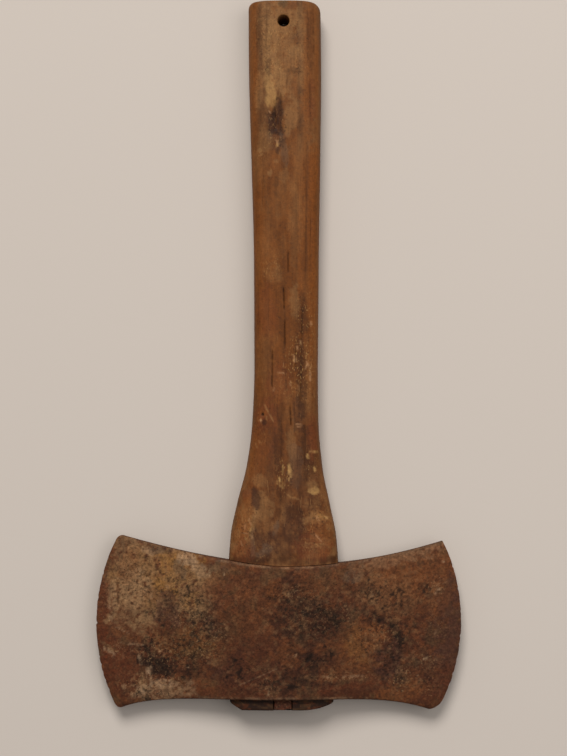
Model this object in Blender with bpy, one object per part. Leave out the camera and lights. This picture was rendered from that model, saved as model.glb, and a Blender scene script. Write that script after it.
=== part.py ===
"""Double-bit felling axe on a short wooden haft, lying on one cheek.

Metres, +Z up. X runs from bit to bit, Y runs from the crown of the head to the butt of the haft.
The origin is on the lower cheek, under the centre of the head.
"""
import math

import bmesh
import bpy
from mathutils import Vector

# Head
LEFT_REACH = 0.1334           # haft axis to the middle of the left bit
RIGHT_REACH = 0.1266          # the same for the right bit, which is worn shorter
LEFT_BIT_RADIUS = 0.1312
RIGHT_BIT_RADIUS = 0.1278
LEFT_BIT_MIDDLE_Y = 0.0065
RIGHT_BIT_MIDDLE_Y = 0.0082
BACK_Y = 0.0464               # head edge on the haft side, at the middle
CROWN_Y = -0.0474             # far edge of the head, at the middle
WING_GAUGE_X = 0.1000         # the rises and drops below are taken this far from the haft axis
LEFT_BACK_RISE = 0.0178       # how far the wing's back edge stands above BACK_Y there
RIGHT_BACK_RISE = 0.0140
LEFT_BACK_CURVE = 1.50        # exponents of the wings' edge curves
RIGHT_BACK_CURVE = 1.98
LEFT_CROWN_DROP = 0.0024      # how far the wing's crown edge stands below CROWN_Y there
RIGHT_CROWN_DROP = 0.0066
LEFT_CROWN_CURVE = 7.0
RIGHT_CROWN_CURVE = 4.6
LEFT_BACK_ROUND = 0.0040      # rounding of the four corners in plan
RIGHT_BACK_ROUND = 0.0010
LEFT_CROWN_ROUND = 0.0045
RIGHT_CROWN_ROUND = 0.0065
CHEEK_THICKNESS = 0.0280
CHEEK_HALF_LAND = 0.0130      # flat part of the cheek, each side of the middle
CHEEK_CURVE = 1.5             # how roundly the cheek turns into the wing
WING_CURVE = 2.8              # how hollow the wing is out to the bevel
BEVEL_LENGTH = 0.0100         # last stretch down to the cutting edge
BEVEL_THICKNESS = 0.0042      # thickness where that stretch begins
EDGE_THICKNESS = 0.0008
EDGE_EASE = 0.0016            # worn chamfer along the back and crown edges
EDGE_EASE_FLOOR = 0.6         # share of the thickness that the chamfer leaves on a thin wing

# Eye and tongue
EYE_WIDTH = 0.0746            # along X
EYE_HEIGHT = 0.0190           # along Z
EYE_OFFSET_X = -0.0013
EYE_ROUNDNESS = 2.6           # exponent of the oval
FIT_CLEARANCE = 0.0003

# Haft
HAFT_LENGTH = 0.4042          # back of the head to the sawn butt
TONGUE_PROUD = 0.0077         # how far the tongue stands out past the crown
TONGUE_LEFT_CHAMFER = 0.0088
TONGUE_RIGHT_CHAMFER = 0.0227
TONGUE_CHAMFER_DROP = 0.0049
SHOULDER_WIDTH = 0.0784
SHOULDER_THICKNESS = 0.0258
GRIP_WIDTH = 0.0460
GRIP_THICKNESS = 0.0248
BUTT_WIDTH = 0.0526
BUTT_THICKNESS = 0.0290       # the butt lies on a small flat spot worn into this swell
HAFT_ROUNDNESS = 3.2          # exponent of the haft's rounded oblong section
HAFT_SWAY = 0.0021            # the grip stands this far to the right of the axis
BUTT_LEFT_ROUND = 0.0040
BUTT_RIGHT_ROUND = 0.0068
BUTT_EDGE_EASE = 0.0016

# Hanging hole
HOLE_DIAMETER = 0.0086
HOLE_FROM_BUTT = 0.0149

# Iron wedge beside the tongue
WEDGE_WIDTH = 0.0130
WEDGE_LENGTH = 0.0380
WEDGE_HEAD_THICKNESS = 0.0030
WEDGE_TIP_THICKNESS = 0.0010
WEDGE_OFFSET_X = -0.0005
WEDGE_SHY = 0.0005            # the wedge stops this far short of the tongue's end

# Fineness of the faceted surfaces
TAPER_STEPS = 16              # cheek to bevel, each side
HEIGHT_STEPS = 18             # crown to back
RING_POINTS = 40              # round the haft, a multiple of four
HAFT_RINGS = 32
EYE_POINTS = 40
HOLE_SIDES = 32
CORNER_ROWS = (0.008, 0.022, 0.978, 0.992)        # extra rows of the head, as shares of its height
TONGUE_RINGS = (1.0, 0.93, 0.5, 0.0)              # rings of the tongue, as shares of its depth
BUTT_RINGS = (1.0, 0.7, 0.44, 0.24, 0.09, 0.0)    # rings of the butt, as shares of its rounding

# Worked out from the sizes above
MIDDLE_Z = CHEEK_THICKNESS / 2
BUTT_Y = BACK_Y + HAFT_LENGTH
TONGUE_END_Y = CROWN_Y - TONGUE_PROUD
TONGUE_WIDTH = EYE_WIDTH - 2 * FIT_CLEARANCE
TONGUE_HEIGHT = EYE_HEIGHT - 2 * FIT_CLEARANCE
CUTTER_MARGIN = 0.02

# Shares of the haft's length from the shoulder, with how much of the step from one named width or
# thickness to the next is left there
FLARE = ((0.0, 1.0), (0.045, 0.915), (0.103, 0.636), (0.173, 0.256), (0.248, 0.059), (0.348, 0.0), (1.0, 0.0))
SWELL = ((0.0, 0.0), (0.348, 0.0), (0.533, 0.15), (0.713, 0.61), (0.898, 1.0), (1.0, 0.97))
THICKEN = ((0.0, 0.0), (0.45, 0.0), (0.7, 0.35), (0.88, 1.0), (1.0, 1.0))
SWAY = ((0.0, 0.0), (0.1, 0.05), (0.2, 0.45), (0.35, 0.9), (0.53, 1.0), (0.75, 0.75), (1.0, 0.35))


def clear_scene():
    for item in list(bpy.data.objects):
        bpy.data.objects.remove(item, do_unlink=True)


def new_collection(name):
    group = bpy.data.collections.new(name)
    bpy.context.scene.collection.children.link(group)
    return group


def new_material(name, colour, roughness, metallic):
    material = bpy.data.materials.new(name)
    material.use_nodes = True
    shader = material.node_tree.nodes["Principled BSDF"]
    shader.inputs["Base Color"].default_value = (*colour, 1.0)
    shader.inputs["Roughness"].default_value = roughness
    shader.inputs["Metallic"].default_value = metallic
    material.diffuse_color = (*colour, 1.0)
    return material


def finish_object(name, work, group):
    """Turns a bmesh into a named object with outward faces."""
    bmesh.ops.recalc_face_normals(work, faces=work.faces)
    mesh = bpy.data.meshes.new(name)
    work.to_mesh(mesh)
    work.free()
    mesh.shade_smooth()
    mesh.set_sharp_from_angle(angle=math.radians(35))
    thing = bpy.data.objects.new(name, mesh)
    group.objects.link(thing)
    return thing


def make_cutter(thing):
    thing.hide_render = True
    thing.display_type = "WIRE"
    return thing


def cut(target, cutter):
    step = target.modifiers.new("cut_" + cutter.name, "BOOLEAN")
    step.operation = "DIFFERENCE"
    step.solver = "EXACT"
    step.object = cutter


def blend(table, share):
    """Reads a table of (share, value) with a smooth curve that never overshoots."""
    share = min(max(share, table[0][0]), table[-1][0])
    slopes = [(b[1] - a[1]) / (b[0] - a[0]) for a, b in zip(table, table[1:])]
    for i, (a, b) in enumerate(zip(table, table[1:])):
        if share <= b[0]:
            break
    before = slopes[i - 1] if i > 0 else slopes[i]
    after = slopes[i + 1] if i + 1 < len(slopes) else slopes[i]
    start = 2 * before * slopes[i] / (before + slopes[i]) if before * slopes[i] > 0 else 0.0
    end = 2 * after * slopes[i] / (after + slopes[i]) if after * slopes[i] > 0 else 0.0
    span = b[0] - a[0]
    t = (share - a[0]) / span
    return (a[1] * (2 * t ** 3 - 3 * t ** 2 + 1) + b[1] * (3 * t ** 2 - 2 * t ** 3)
            + span * start * (t ** 3 - 2 * t ** 2 + t) + span * end * (t ** 3 - t ** 2))


def power(value, exponent):
    return math.copysign(abs(value) ** exponent, value)


def back_edge(x):
    """Height in Y of the head's edge on the haft side."""
    if x < 0:
        return BACK_Y + LEFT_BACK_RISE * (-x / WING_GAUGE_X) ** LEFT_BACK_CURVE
    return BACK_Y + RIGHT_BACK_RISE * (x / WING_GAUGE_X) ** RIGHT_BACK_CURVE


def crown_edge(x):
    """Height in Y of the head's far edge."""
    if x < 0:
        return CROWN_Y - LEFT_CROWN_DROP * (-x / WING_GAUGE_X) ** LEFT_CROWN_CURVE
    return CROWN_Y - RIGHT_CROWN_DROP * (x / WING_GAUGE_X) ** RIGHT_CROWN_CURVE


def corner_inset(gap, radius):
    """How far a rounded corner draws the bit in, at this distance from the corner."""
    reach = min(max(radius - gap, 0.0), radius)
    return radius - math.sqrt(radius ** 2 - reach ** 2)


def bit_x(side, share):
    """X of the cutting edge; share runs from 0 at the crown to 1 at the back."""
    reach, radius, middle = (
        (LEFT_REACH, LEFT_BIT_RADIUS, LEFT_BIT_MIDDLE_Y) if side < 0
        else (RIGHT_REACH, RIGHT_BIT_RADIUS, RIGHT_BIT_MIDDLE_Y))
    crown_round = LEFT_CROWN_ROUND if side < 0 else RIGHT_CROWN_ROUND
    back_round = LEFT_BACK_ROUND if side < 0 else RIGHT_BACK_ROUND
    x = side * reach
    for _ in range(8):
        low, high = crown_edge(x), back_edge(x)
        y = low + share * (high - low)
        sagitta = radius - math.sqrt(radius ** 2 - (y - middle) ** 2)
        inset = corner_inset(y - low, crown_round) + corner_inset(high - y, back_round)
        x = side * (reach - sagitta - inset)
    return x


def head_half_thickness(side, inward):
    """Half thickness; inward is the distance from the middle of the bit towards the haft axis."""
    reach = LEFT_REACH if side < 0 else RIGHT_REACH
    if inward <= BEVEL_LENGTH:
        return (EDGE_THICKNESS + (BEVEL_THICKNESS - EDGE_THICKNESS) * inward / BEVEL_LENGTH) / 2
    share = min((inward - BEVEL_LENGTH) / (reach - CHEEK_HALF_LAND - BEVEL_LENGTH), 1.0)
    swell = (1 - (1 - share) ** CHEEK_CURVE) ** WING_CURVE
    return (BEVEL_THICKNESS + (CHEEK_THICKNESS - BEVEL_THICKNESS) * swell) / 2


def head_columns():
    """(side, inward share) of each column of points, from the left bit to the right bit."""
    columns = []
    for side in (-1, 1):
        reach = LEFT_REACH if side < 0 else RIGHT_REACH
        marks = [0.0, BEVEL_LENGTH / 2, BEVEL_LENGTH]
        taper = reach - CHEEK_HALF_LAND - BEVEL_LENGTH
        marks += [BEVEL_LENGTH + taper * i / TAPER_STEPS for i in range(1, TAPER_STEPS + 1)]
        run = [(side, mark / reach) for mark in marks]
        columns += run if side < 0 else [(0, 1.0)] + run[::-1]
    return columns


def height_shares():
    """Shares from crown to back: one step for each worn edge, even steps between."""
    ease = EDGE_EASE / (BACK_Y - CROWN_Y)
    inner = [ease + (1 - 2 * ease) * i / HEIGHT_STEPS for i in range(HEIGHT_STEPS + 1)]
    finer = [ease + (1 - 2 * ease) * step for step in CORNER_ROWS]
    return [0.0] + sorted(inner + finer) + [1.0]


def build_head(group):
    work = bmesh.new()
    shares = height_shares()
    upper, lower = [], []
    for side, inward_share in head_columns():
        top_column, under_column = [], []
        for share in shares:
            x = bit_x(side, share) * (1 - inward_share) if side else 0.0
            low, high = crown_edge(x), back_edge(x)
            y = low + share * (high - low)
            reach = LEFT_REACH if side < 0 else RIGHT_REACH
            half = head_half_thickness(side, inward_share * reach)
            if share in (0.0, 1.0):
                half = max(half - EDGE_EASE, half * EDGE_EASE_FLOOR)
            top_column.append(work.verts.new((x, y, MIDDLE_Z + half)))
            under_column.append(work.verts.new((x, y, MIDDLE_Z - half)))
        upper.append(top_column)
        lower.append(under_column)
    last = len(shares) - 1
    for a in range(len(upper) - 1):
        for i in range(last):
            work.faces.new((upper[a][i], upper[a + 1][i], upper[a + 1][i + 1], upper[a][i + 1]))
            work.faces.new((lower[a][i], lower[a][i + 1], lower[a + 1][i + 1], lower[a + 1][i]))
        for i in (0, last):
            work.faces.new((upper[a][i], upper[a + 1][i], lower[a + 1][i], lower[a][i]))
    for a in (0, len(upper) - 1):
        for i in range(last):
            work.faces.new((upper[a][i], upper[a][i + 1], lower[a][i + 1], lower[a][i]))
    return finish_object("axe_head", work, group)


def oval_ring(half_left, half_right, half_height, roundness, points, centre_x, y_of_x, floor_z=None):
    """A closed ring of points in an oval section, listed from +X over the top."""
    ring = []
    for i in range(points):
        angle = 2 * math.pi * i / points
        half = half_right if math.cos(angle) >= 0 else half_left
        x = centre_x + half * power(math.cos(angle), 2 / roundness)
        z = MIDDLE_Z + half_height * power(math.sin(angle), 2 / roundness)
        if floor_z is not None:
            z = max(z, floor_z)
        ring.append((x, y_of_x(x), z))
    return ring


def loft(name, rings, group):
    """Skins rings of points, and closes both ends with strips across the ring."""
    work = bmesh.new()
    rows = [[work.verts.new(point) for point in ring] for ring in rings]
    count = len(rings[0])
    for a, b in zip(rows, rows[1:]):
        for i in range(count):
            j = (i + 1) % count
            work.faces.new((a[i], a[j], b[j], b[i]))
    for row in (rows[0], rows[-1]):
        for i in range(count // 2):
            corners = (row[i], row[i + 1], row[(count - i - 1) % count], row[-i % count])
            work.faces.new(list(dict.fromkeys(corners)))
    return finish_object(name, work, group)


def seat_y(x):
    """The shoulder's underside follows the back edge of the head."""
    return back_edge(x) + FIT_CLEARANCE


def tongue_end_y(x):
    """The sawn end of the tongue, with a knocked-off corner each side."""
    left_start = EYE_OFFSET_X - TONGUE_WIDTH / 2 + TONGUE_LEFT_CHAMFER
    right_start = EYE_OFFSET_X + TONGUE_WIDTH / 2 - TONGUE_RIGHT_CHAMFER
    left = max(0.0, (left_start - x) / TONGUE_LEFT_CHAMFER)
    right = max(0.0, (x - right_start) / TONGUE_RIGHT_CHAMFER)
    return TONGUE_END_Y + TONGUE_CHAMFER_DROP * (left + right ** 2)


def haft_ring(share):
    """One ring of the haft above the shoulder; share is 0 at the shoulder and 1 at the butt."""
    from_butt = (1 - share) * HAFT_LENGTH
    width = (GRIP_WIDTH + (SHOULDER_WIDTH - GRIP_WIDTH) * blend(FLARE, share)
             + (BUTT_WIDTH - GRIP_WIDTH) * blend(SWELL, share))
    thickness = (GRIP_THICKNESS + (SHOULDER_THICKNESS - GRIP_THICKNESS) * blend(FLARE, share)
                 + (BUTT_THICKNESS - GRIP_THICKNESS) * blend(THICKEN, share))
    left = width / 2 - corner_inset(from_butt, BUTT_LEFT_ROUND)
    right = width / 2 - corner_inset(from_butt, BUTT_RIGHT_ROUND)
    half_height = thickness / 2 - corner_inset(from_butt, BUTT_EDGE_EASE)
    centre = HAFT_SWAY * blend(SWAY, share)
    return oval_ring(left, right, half_height, HAFT_ROUNDNESS, RING_POINTS, centre,
                     lambda x: seat_y(x) + share * (BUTT_Y - seat_y(x)), floor_z=0.0)


def tongue_ring(y_of_x):
    half = TONGUE_WIDTH / 2
    return oval_ring(half, half, TONGUE_HEIGHT / 2, EYE_ROUNDNESS, RING_POINTS, EYE_OFFSET_X, y_of_x)


def haft_shares():
    """Even shares along the haft, with closer rings where the butt is rounded."""
    rounding = max(BUTT_LEFT_ROUND, BUTT_RIGHT_ROUND, BUTT_EDGE_EASE)
    near_butt = [1 - rounding * step / HAFT_LENGTH for step in BUTT_RINGS]
    even = [near_butt[0] * i / HAFT_RINGS for i in range(HAFT_RINGS)]
    return even + near_butt


def build_haft(group):
    rings = [tongue_ring(lambda x, d=depth: seat_y(x) + d * (tongue_end_y(x) - seat_y(x)))
             for depth in TONGUE_RINGS]
    rings += [haft_ring(share) for share in haft_shares()]
    return loft("haft", rings, group)


def eye_cutter(group):
    half = EYE_WIDTH / 2
    ends = (CROWN_Y - CUTTER_MARGIN, BACK_Y + CUTTER_MARGIN)
    rings = [oval_ring(half, half, EYE_HEIGHT / 2, EYE_ROUNDNESS, EYE_POINTS, EYE_OFFSET_X,
                       lambda x, y=y: y) for y in ends]
    return make_cutter(loft("cutter_eye", rings, group))


def hole_cutter(group):
    bpy.ops.mesh.primitive_cylinder_add(
        vertices=HOLE_SIDES, radius=HOLE_DIAMETER / 2, depth=BUTT_THICKNESS + 2 * CUTTER_MARGIN,
        location=(0.0, BUTT_Y - HOLE_FROM_BUTT, MIDDLE_Z))
    hole = bpy.context.object
    hole.name = "cutter_hanging_hole"
    for owner in list(hole.users_collection):
        owner.objects.unlink(hole)
    group.objects.link(hole)
    return make_cutter(hole)


def eye_wall_z():
    """Z of the eye's upper wall beside the wedge, where it is lowest."""
    reach = abs(WEDGE_OFFSET_X - EYE_OFFSET_X) + WEDGE_WIDTH / 2
    share = reach / (EYE_WIDTH / 2)
    return MIDDLE_Z + EYE_HEIGHT / 2 * (1 - share ** EYE_ROUNDNESS) ** (1 / EYE_ROUNDNESS)


def wedge_solid(name, group, grow, above):
    """A flat tapered wedge; grow widens it all round and above lifts its top, for a cutter."""
    top = eye_wall_z() - FIT_CLEARANCE + above
    head_y = TONGUE_END_Y + WEDGE_SHY - (CUTTER_MARGIN if grow else 0.0)
    tip_y = TONGUE_END_Y + WEDGE_SHY + WEDGE_LENGTH + grow
    left = WEDGE_OFFSET_X - WEDGE_WIDTH / 2 - grow
    right = WEDGE_OFFSET_X + WEDGE_WIDTH / 2 + grow
    slope = (WEDGE_HEAD_THICKNESS - WEDGE_TIP_THICKNESS) / WEDGE_LENGTH
    bpy.ops.mesh.primitive_cube_add(size=1.0)
    wedge = bpy.context.object
    wedge.name = name
    for corner in wedge.data.vertices:
        x = left if corner.co.x < 0 else right
        y = head_y if corner.co.y < 0 else tip_y
        lower_z = (eye_wall_z() - FIT_CLEARANCE - grow - WEDGE_TIP_THICKNESS
                   - slope * (TONGUE_END_Y + WEDGE_SHY + WEDGE_LENGTH - y))
        corner.co = Vector((x, y, lower_z if corner.co.z < 0 else top))
    for owner in list(wedge.users_collection):
        owner.objects.unlink(wedge)
    group.objects.link(wedge)
    return wedge


def main():
    clear_scene()
    parts = new_collection("double_bit_axe")
    cutters = new_collection("cutters")
    rusted_iron = new_material("rusted_iron", (0.105, 0.052, 0.030), 0.8, 0.35)
    worn_wood = new_material("worn_wood", (0.190, 0.090, 0.038), 0.65, 0.0)
    wedge_iron = new_material("wedge_iron", (0.085, 0.035, 0.022), 0.85, 0.3)

    head = build_head(parts)
    head.data.materials.append(rusted_iron)
    cut(head, eye_cutter(cutters))

    haft = build_haft(parts)
    haft.data.materials.append(worn_wood)
    cut(haft, hole_cutter(cutters))
    cut(haft, make_cutter(wedge_solid("cutter_wedge_slot", cutters, FIT_CLEARANCE, TONGUE_HEIGHT)))

    wedge = wedge_solid("wedge", parts, 0.0, 0.0)
    wedge.data.materials.append(wedge_iron)


main()
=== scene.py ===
"""Looks of a rusty double-bit axe with a short wooden haft, lying on a pale floor.

Shapes are worked out in millimetres and written to the meshes in metres. X runs from bit to bit,
Y from the crown of the head to the butt of the haft, Z up from the floor.
"""

import math

import bmesh
import bpy
import numpy as np
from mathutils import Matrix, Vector


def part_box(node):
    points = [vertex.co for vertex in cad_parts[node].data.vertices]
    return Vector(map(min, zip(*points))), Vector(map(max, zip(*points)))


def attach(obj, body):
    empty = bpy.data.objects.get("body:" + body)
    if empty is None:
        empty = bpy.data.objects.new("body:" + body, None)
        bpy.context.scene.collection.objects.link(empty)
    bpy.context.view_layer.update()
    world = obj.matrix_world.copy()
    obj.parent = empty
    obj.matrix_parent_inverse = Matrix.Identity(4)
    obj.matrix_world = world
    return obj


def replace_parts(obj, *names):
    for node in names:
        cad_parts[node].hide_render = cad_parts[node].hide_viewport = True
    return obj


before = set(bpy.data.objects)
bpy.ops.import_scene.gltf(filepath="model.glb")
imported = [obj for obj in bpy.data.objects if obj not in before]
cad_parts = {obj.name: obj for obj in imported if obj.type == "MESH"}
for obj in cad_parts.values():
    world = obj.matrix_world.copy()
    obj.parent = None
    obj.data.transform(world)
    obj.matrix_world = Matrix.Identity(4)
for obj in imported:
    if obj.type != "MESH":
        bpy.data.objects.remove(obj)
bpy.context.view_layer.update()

MM = 0.001
head_low, head_high = (np.array(corner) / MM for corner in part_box("axe_head"))
haft_low, haft_high = (np.array(corner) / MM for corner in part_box("haft"))
wedge_low, wedge_high = (np.array(corner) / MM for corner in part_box("wedge"))

# Head, as in the frame
LEFT_REACH, RIGHT_REACH = -head_low[0], head_high[0]
LEFT_BIT_RADIUS, RIGHT_BIT_RADIUS = 131.2, 127.8
LEFT_BIT_MIDDLE_Y, RIGHT_BIT_MIDDLE_Y = 6.5, 8.2
BACK_Y, CROWN_Y = 46.4, -47.4
WING_GAUGE_X = 100.0
LEFT_BACK_RISE, RIGHT_BACK_RISE = 17.8, 14.0
LEFT_BACK_CURVE, RIGHT_BACK_CURVE = 1.50, 1.98
LEFT_CROWN_DROP, RIGHT_CROWN_DROP = 2.4, 6.6
LEFT_CROWN_CURVE, RIGHT_CROWN_CURVE = 7.0, 4.6
LEFT_BACK_ROUND, RIGHT_BACK_ROUND = 4.0, 1.0
LEFT_CROWN_ROUND, RIGHT_CROWN_ROUND = 4.5, 6.5
CHEEK_THICKNESS = head_high[2]
CHEEK_HALF_LAND = 13.0
CHEEK_CURVE, WING_CURVE = 1.5, 2.8
BEVEL_LENGTH, BEVEL_THICKNESS, EDGE_THICKNESS = 10.0, 4.2, 0.8
EDGE_EASE, EDGE_EASE_FLOOR = 1.6, 0.6
EYE_WIDTH, EYE_HEIGHT, EYE_OFFSET_X, EYE_ROUNDNESS = 74.6, 19.0, -1.3, 2.6
FIT_CLEARANCE = 0.3
MIDDLE_Z = CHEEK_THICKNESS / 2

# Haft, as in the frame
BUTT_Y, TONGUE_END_Y = haft_high[1], haft_low[1]
HAFT_LENGTH = BUTT_Y - BACK_Y
TONGUE_LEFT_CHAMFER, TONGUE_RIGHT_CHAMFER, TONGUE_CHAMFER_DROP = 8.8, 22.7, 4.9
SHOULDER_WIDTH, GRIP_WIDTH, BUTT_WIDTH = 78.4, 46.0, 52.6
SHOULDER_THICKNESS, GRIP_THICKNESS, BUTT_THICKNESS = 25.8, 24.8, 29.0
HAFT_ROUNDNESS, HAFT_SWAY = 3.2, 2.1
BUTT_LEFT_ROUND, BUTT_RIGHT_ROUND, BUTT_EDGE_EASE = 4.0, 6.8, 1.6
HOLE_RADIUS, HOLE_X, HOLE_Y = 4.3, 0.0, BUTT_Y - 14.9
FLARE = ((0.0, 1.0), (0.045, 0.915), (0.103, 0.636), (0.173, 0.256), (0.248, 0.059), (0.348, 0.0), (1.0, 0.0))
SWELL = ((0.0, 0.0), (0.348, 0.0), (0.533, 0.15), (0.713, 0.61), (0.898, 1.0), (1.0, 0.97))
THICKEN = ((0.0, 0.0), (0.45, 0.0), (0.7, 0.35), (0.88, 1.0), (1.0, 1.0))
SWAY = ((0.0, 0.0), (0.1, 0.05), (0.2, 0.45), (0.35, 0.9), (0.53, 1.0), (0.75, 0.75), (1.0, 0.35))

# Fineness of the modelled surfaces
LEFT_COLUMNS, EYE_COLUMNS, RIGHT_COLUMNS = 108, 80, 104
HEAD_ROWS = 122
EASE_STEPS = (0.0, 0.04, 0.14, 0.32, 0.6, 1.0)
WALL_STEPS = 5
HAFT_ROWS = 410
HAFT_POINTS = 208
BUTT_STEPS = (1.7, 1.1, 0.7, 0.4, 0.2, 0.08, 0.0)     # distances of the last rings from the butt
TONGUE_EDGE_EASE = 0.9
TONGUE_STEPS = (0.0, 0.001, 0.004, 0.009, *(0.01 * step for step in range(2, 11)), 0.3, 0.7, 0.99)
CAP_SHARES = (0.93, 0.8, 0.64, 0.46, 0.27)
HOLE_EASE = 0.35
HOLE_SQUARE_SHARE = 0.886      # half side of the square with the circle's area, over its radius
HOLE_DRAW_REACH = 2.8          # how far out the grid is drawn round, in half sides of that square
HOLE_STEPS = (0.015, 0.06, 0.15, 0.3, 0.5, 0.7, 0.85, 0.94, 0.985)

# Iron wedge, as in the frame
WEDGE_HEAD, WEDGE_TIP, WEDGE_CLEARANCE = 3.0, 1.0, 0.3
WEDGE_COLUMNS, WEDGE_ROWS = 20, 56
WEDGE_X = (wedge_low[0] + wedge_high[0]) / 2
WEDGE_HALF_WIDTH = (wedge_high[0] - wedge_low[0]) / 2

# Camera and light, in metres
PHOTO_HEIGHT = 756
FOCAL_PIXELS = 1800.0
CAMERA_LEAN_PIXELS = 85.0
CAMERA_PLACE = (0.0, 0.1195, 1.3025)
FLOOR_SIZE = 24.0
FLOOR_SHADE = (200, 190, 181)
FLOOR_ROUGHNESS, FLOOR_SHINE = 0.9, 0.2
KEY_PLACE, KEY_SIZE, KEY_WATTS = (-0.5, 2.7, 3.2), 2.0, 134.0
FILL_PLACE, FILL_SIZE, FILL_WATTS = (0.9, 0.3, 1.8), 1.6, 10.0
ROOM_LIGHT = 0.25
LIGHT_AIM = (0, 0.12, 0)
KEY_COLOUR, ROOM_COLOUR = (1.0, 0.98, 0.95), (1.0, 0.98, 0.96)
FLOOR_DROP = 0.0001
SENSOR_WIDTH = 36.0


# Numbers that vary smoothly or at random over the surface, the same on every run. The size of a bump
# is in millimetres, and the seed after it picks the pattern

def lattice(ix, iy, iz, seed):
    """A repeatable value from -1 to 1 for each whole-number point."""
    mixed = (ix * 374761393 + iy * 668265263 + iz * 1103515245 + seed * 1274126177) & 0xFFFFFFFF
    mixed = ((mixed ^ (mixed >> 13)) * 1274126177) & 0xFFFFFFFF
    mixed = ((mixed ^ (mixed >> 16)) * 2246822519) & 0xFFFFFFFF
    return ((mixed >> 8) & 0xFFFF) / 32767.5 - 1.0


def noise(x, y, z, size, seed):
    """Smooth noise from -1 to 1, with bumps about `size` apart."""
    cells = [np.floor(v / size).astype(np.int64) for v in (x, y, z)]
    shares = [v / size - c for v, c in zip((x, y, z), cells)]
    fades = [s * s * s * (s * (s * 6 - 15) + 10) for s in shares]
    total = 0.0
    for corner in range(8):
        dx, dy, dz = corner & 1, corner >> 1 & 1, corner >> 2 & 1
        weight = ((fades[0] if dx else 1 - fades[0]) * (fades[1] if dy else 1 - fades[1])
                  * (fades[2] if dz else 1 - fades[2]))
        total = total + weight * lattice(cells[0] + dx, cells[1] + dy, cells[2] + dz, seed)
    return total


def layered(x, y, z, size, seed, layers=4):
    """Noise with finer and weaker layers on top."""
    total, strength, reach = 0.0, 1.0, 0.0
    for layer in range(layers):
        total = total + strength * noise(x, y, z, size / 2 ** layer, seed + 17 * layer)
        reach += strength
        strength *= 0.55
    return total / reach * 1.6


def smooth(value):
    """Eases a value from 0 to 1 in and out."""
    value = np.clip(value, 0.0, 1.0)
    return value * value * (3 - 2 * value)


def blob(x, y, centre_x, centre_y, half_width, half_height, turn=0.0, soft=0.45):
    """1 inside an oval, 0 outside it, with a soft edge; turn is in degrees."""
    c, s = math.cos(math.radians(turn)), math.sin(math.radians(turn))
    u = ((x - centre_x) * c + (y - centre_y) * s) / half_width
    v = ((y - centre_y) * c - (x - centre_x) * s) / half_height
    return smooth((1 + soft - np.hypot(u, v)) / (2 * soft))


def stroke(x, y, x0, y0, x1, y1, width, soft=0.5):
    """1 on a line from one point to another, fading out across its width and at its ends."""
    dx, dy = x1 - x0, y1 - y0
    length = math.hypot(dx, dy)
    along = ((x - x0) * dx + (y - y0) * dy) / length ** 2
    off = np.abs((x - x0) * dy - (y - y0) * dx) / length
    taper = smooth(np.minimum(along, 1 - along) * 4 + 0.35)
    return smooth((width * taper * (1 + soft) - off) / (width * 2 * soft)) * ((along > 0) & (along < 1))


def zones(x, y, places):
    """The strongest of several soft ovals at each point."""
    amount = np.zeros_like(x)
    for cx, cy, half_width, half_height, *turn, strength in places:
        amount = np.maximum(amount, strength * blob(x, y, cx, cy, half_width, half_height, *turn, soft=0.6))
    return amount


def pits(x, y, spacing, seed, cover):
    """Depth from 0 to 1 of round pits about `spacing` apart; cover is the share of them that is there."""
    gx, gy = x / spacing, y / spacing
    ix, iy = np.floor(gx).astype(np.int64), np.floor(gy).astype(np.int64)
    depth = np.zeros_like(gx)
    for dx in (-1, 0, 1):
        for dy in (-1, 0, 1):
            cx, cy = ix + dx, iy + dy
            px = cx + 0.5 + 0.42 * lattice(cx, cy, 1, seed)
            py = cy + 0.5 + 0.42 * lattice(cx, cy, 2, seed)
            radius = 0.38 + 0.2 * lattice(cx, cy, 4, seed)
            there = lattice(cx, cy, 3, seed) * 0.5 + 0.5 < cover
            bowl = 1 - ((gx - px) ** 2 + (gy - py) ** 2) / radius ** 2
            depth = np.maximum(depth, np.where(there, np.clip(bowl, 0, 1), 0.0))
    return depth


def frayed(mask, fray):
    """Tears the edge of a soft mask with noise, so that a stain ends in specks and not in a blur."""
    return smooth((mask + 0.5 * fray * smooth(mask * 3) - 0.12) / 0.8)


def linear(red, green, blue):
    """A colour given as it looks on screen, as light."""
    srgb = np.array([red, green, blue]) / 255
    return np.where(srgb <= 0.04045, srgb / 12.92, ((srgb + 0.055) / 1.055) ** 2.4)


def tinted(colour, tint, amount):
    """Mixes a colour array towards one tint."""
    amount = np.clip(amount, 0, 1)[:, None]
    return colour * (1 - amount) + tint * amount


def coated(colour, coats):
    """Mixes a colour array towards several tints, one after the other."""
    for tint, amount in coats:
        colour = tinted(colour, tint, amount)
    return colour


def patched(colour, x, y, patches, strength, fray, soft):
    """Paints patches with torn edges, one after the other."""
    for tint, cx, cy, half_width, half_height, *turn, amount in patches:
        patch = blob(x, y, cx, cy, half_width, half_height, *turn, soft=soft)
        colour = tinted(colour, tint, strength * amount * frayed(patch, fray))
    return colour


# Meshes

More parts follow.
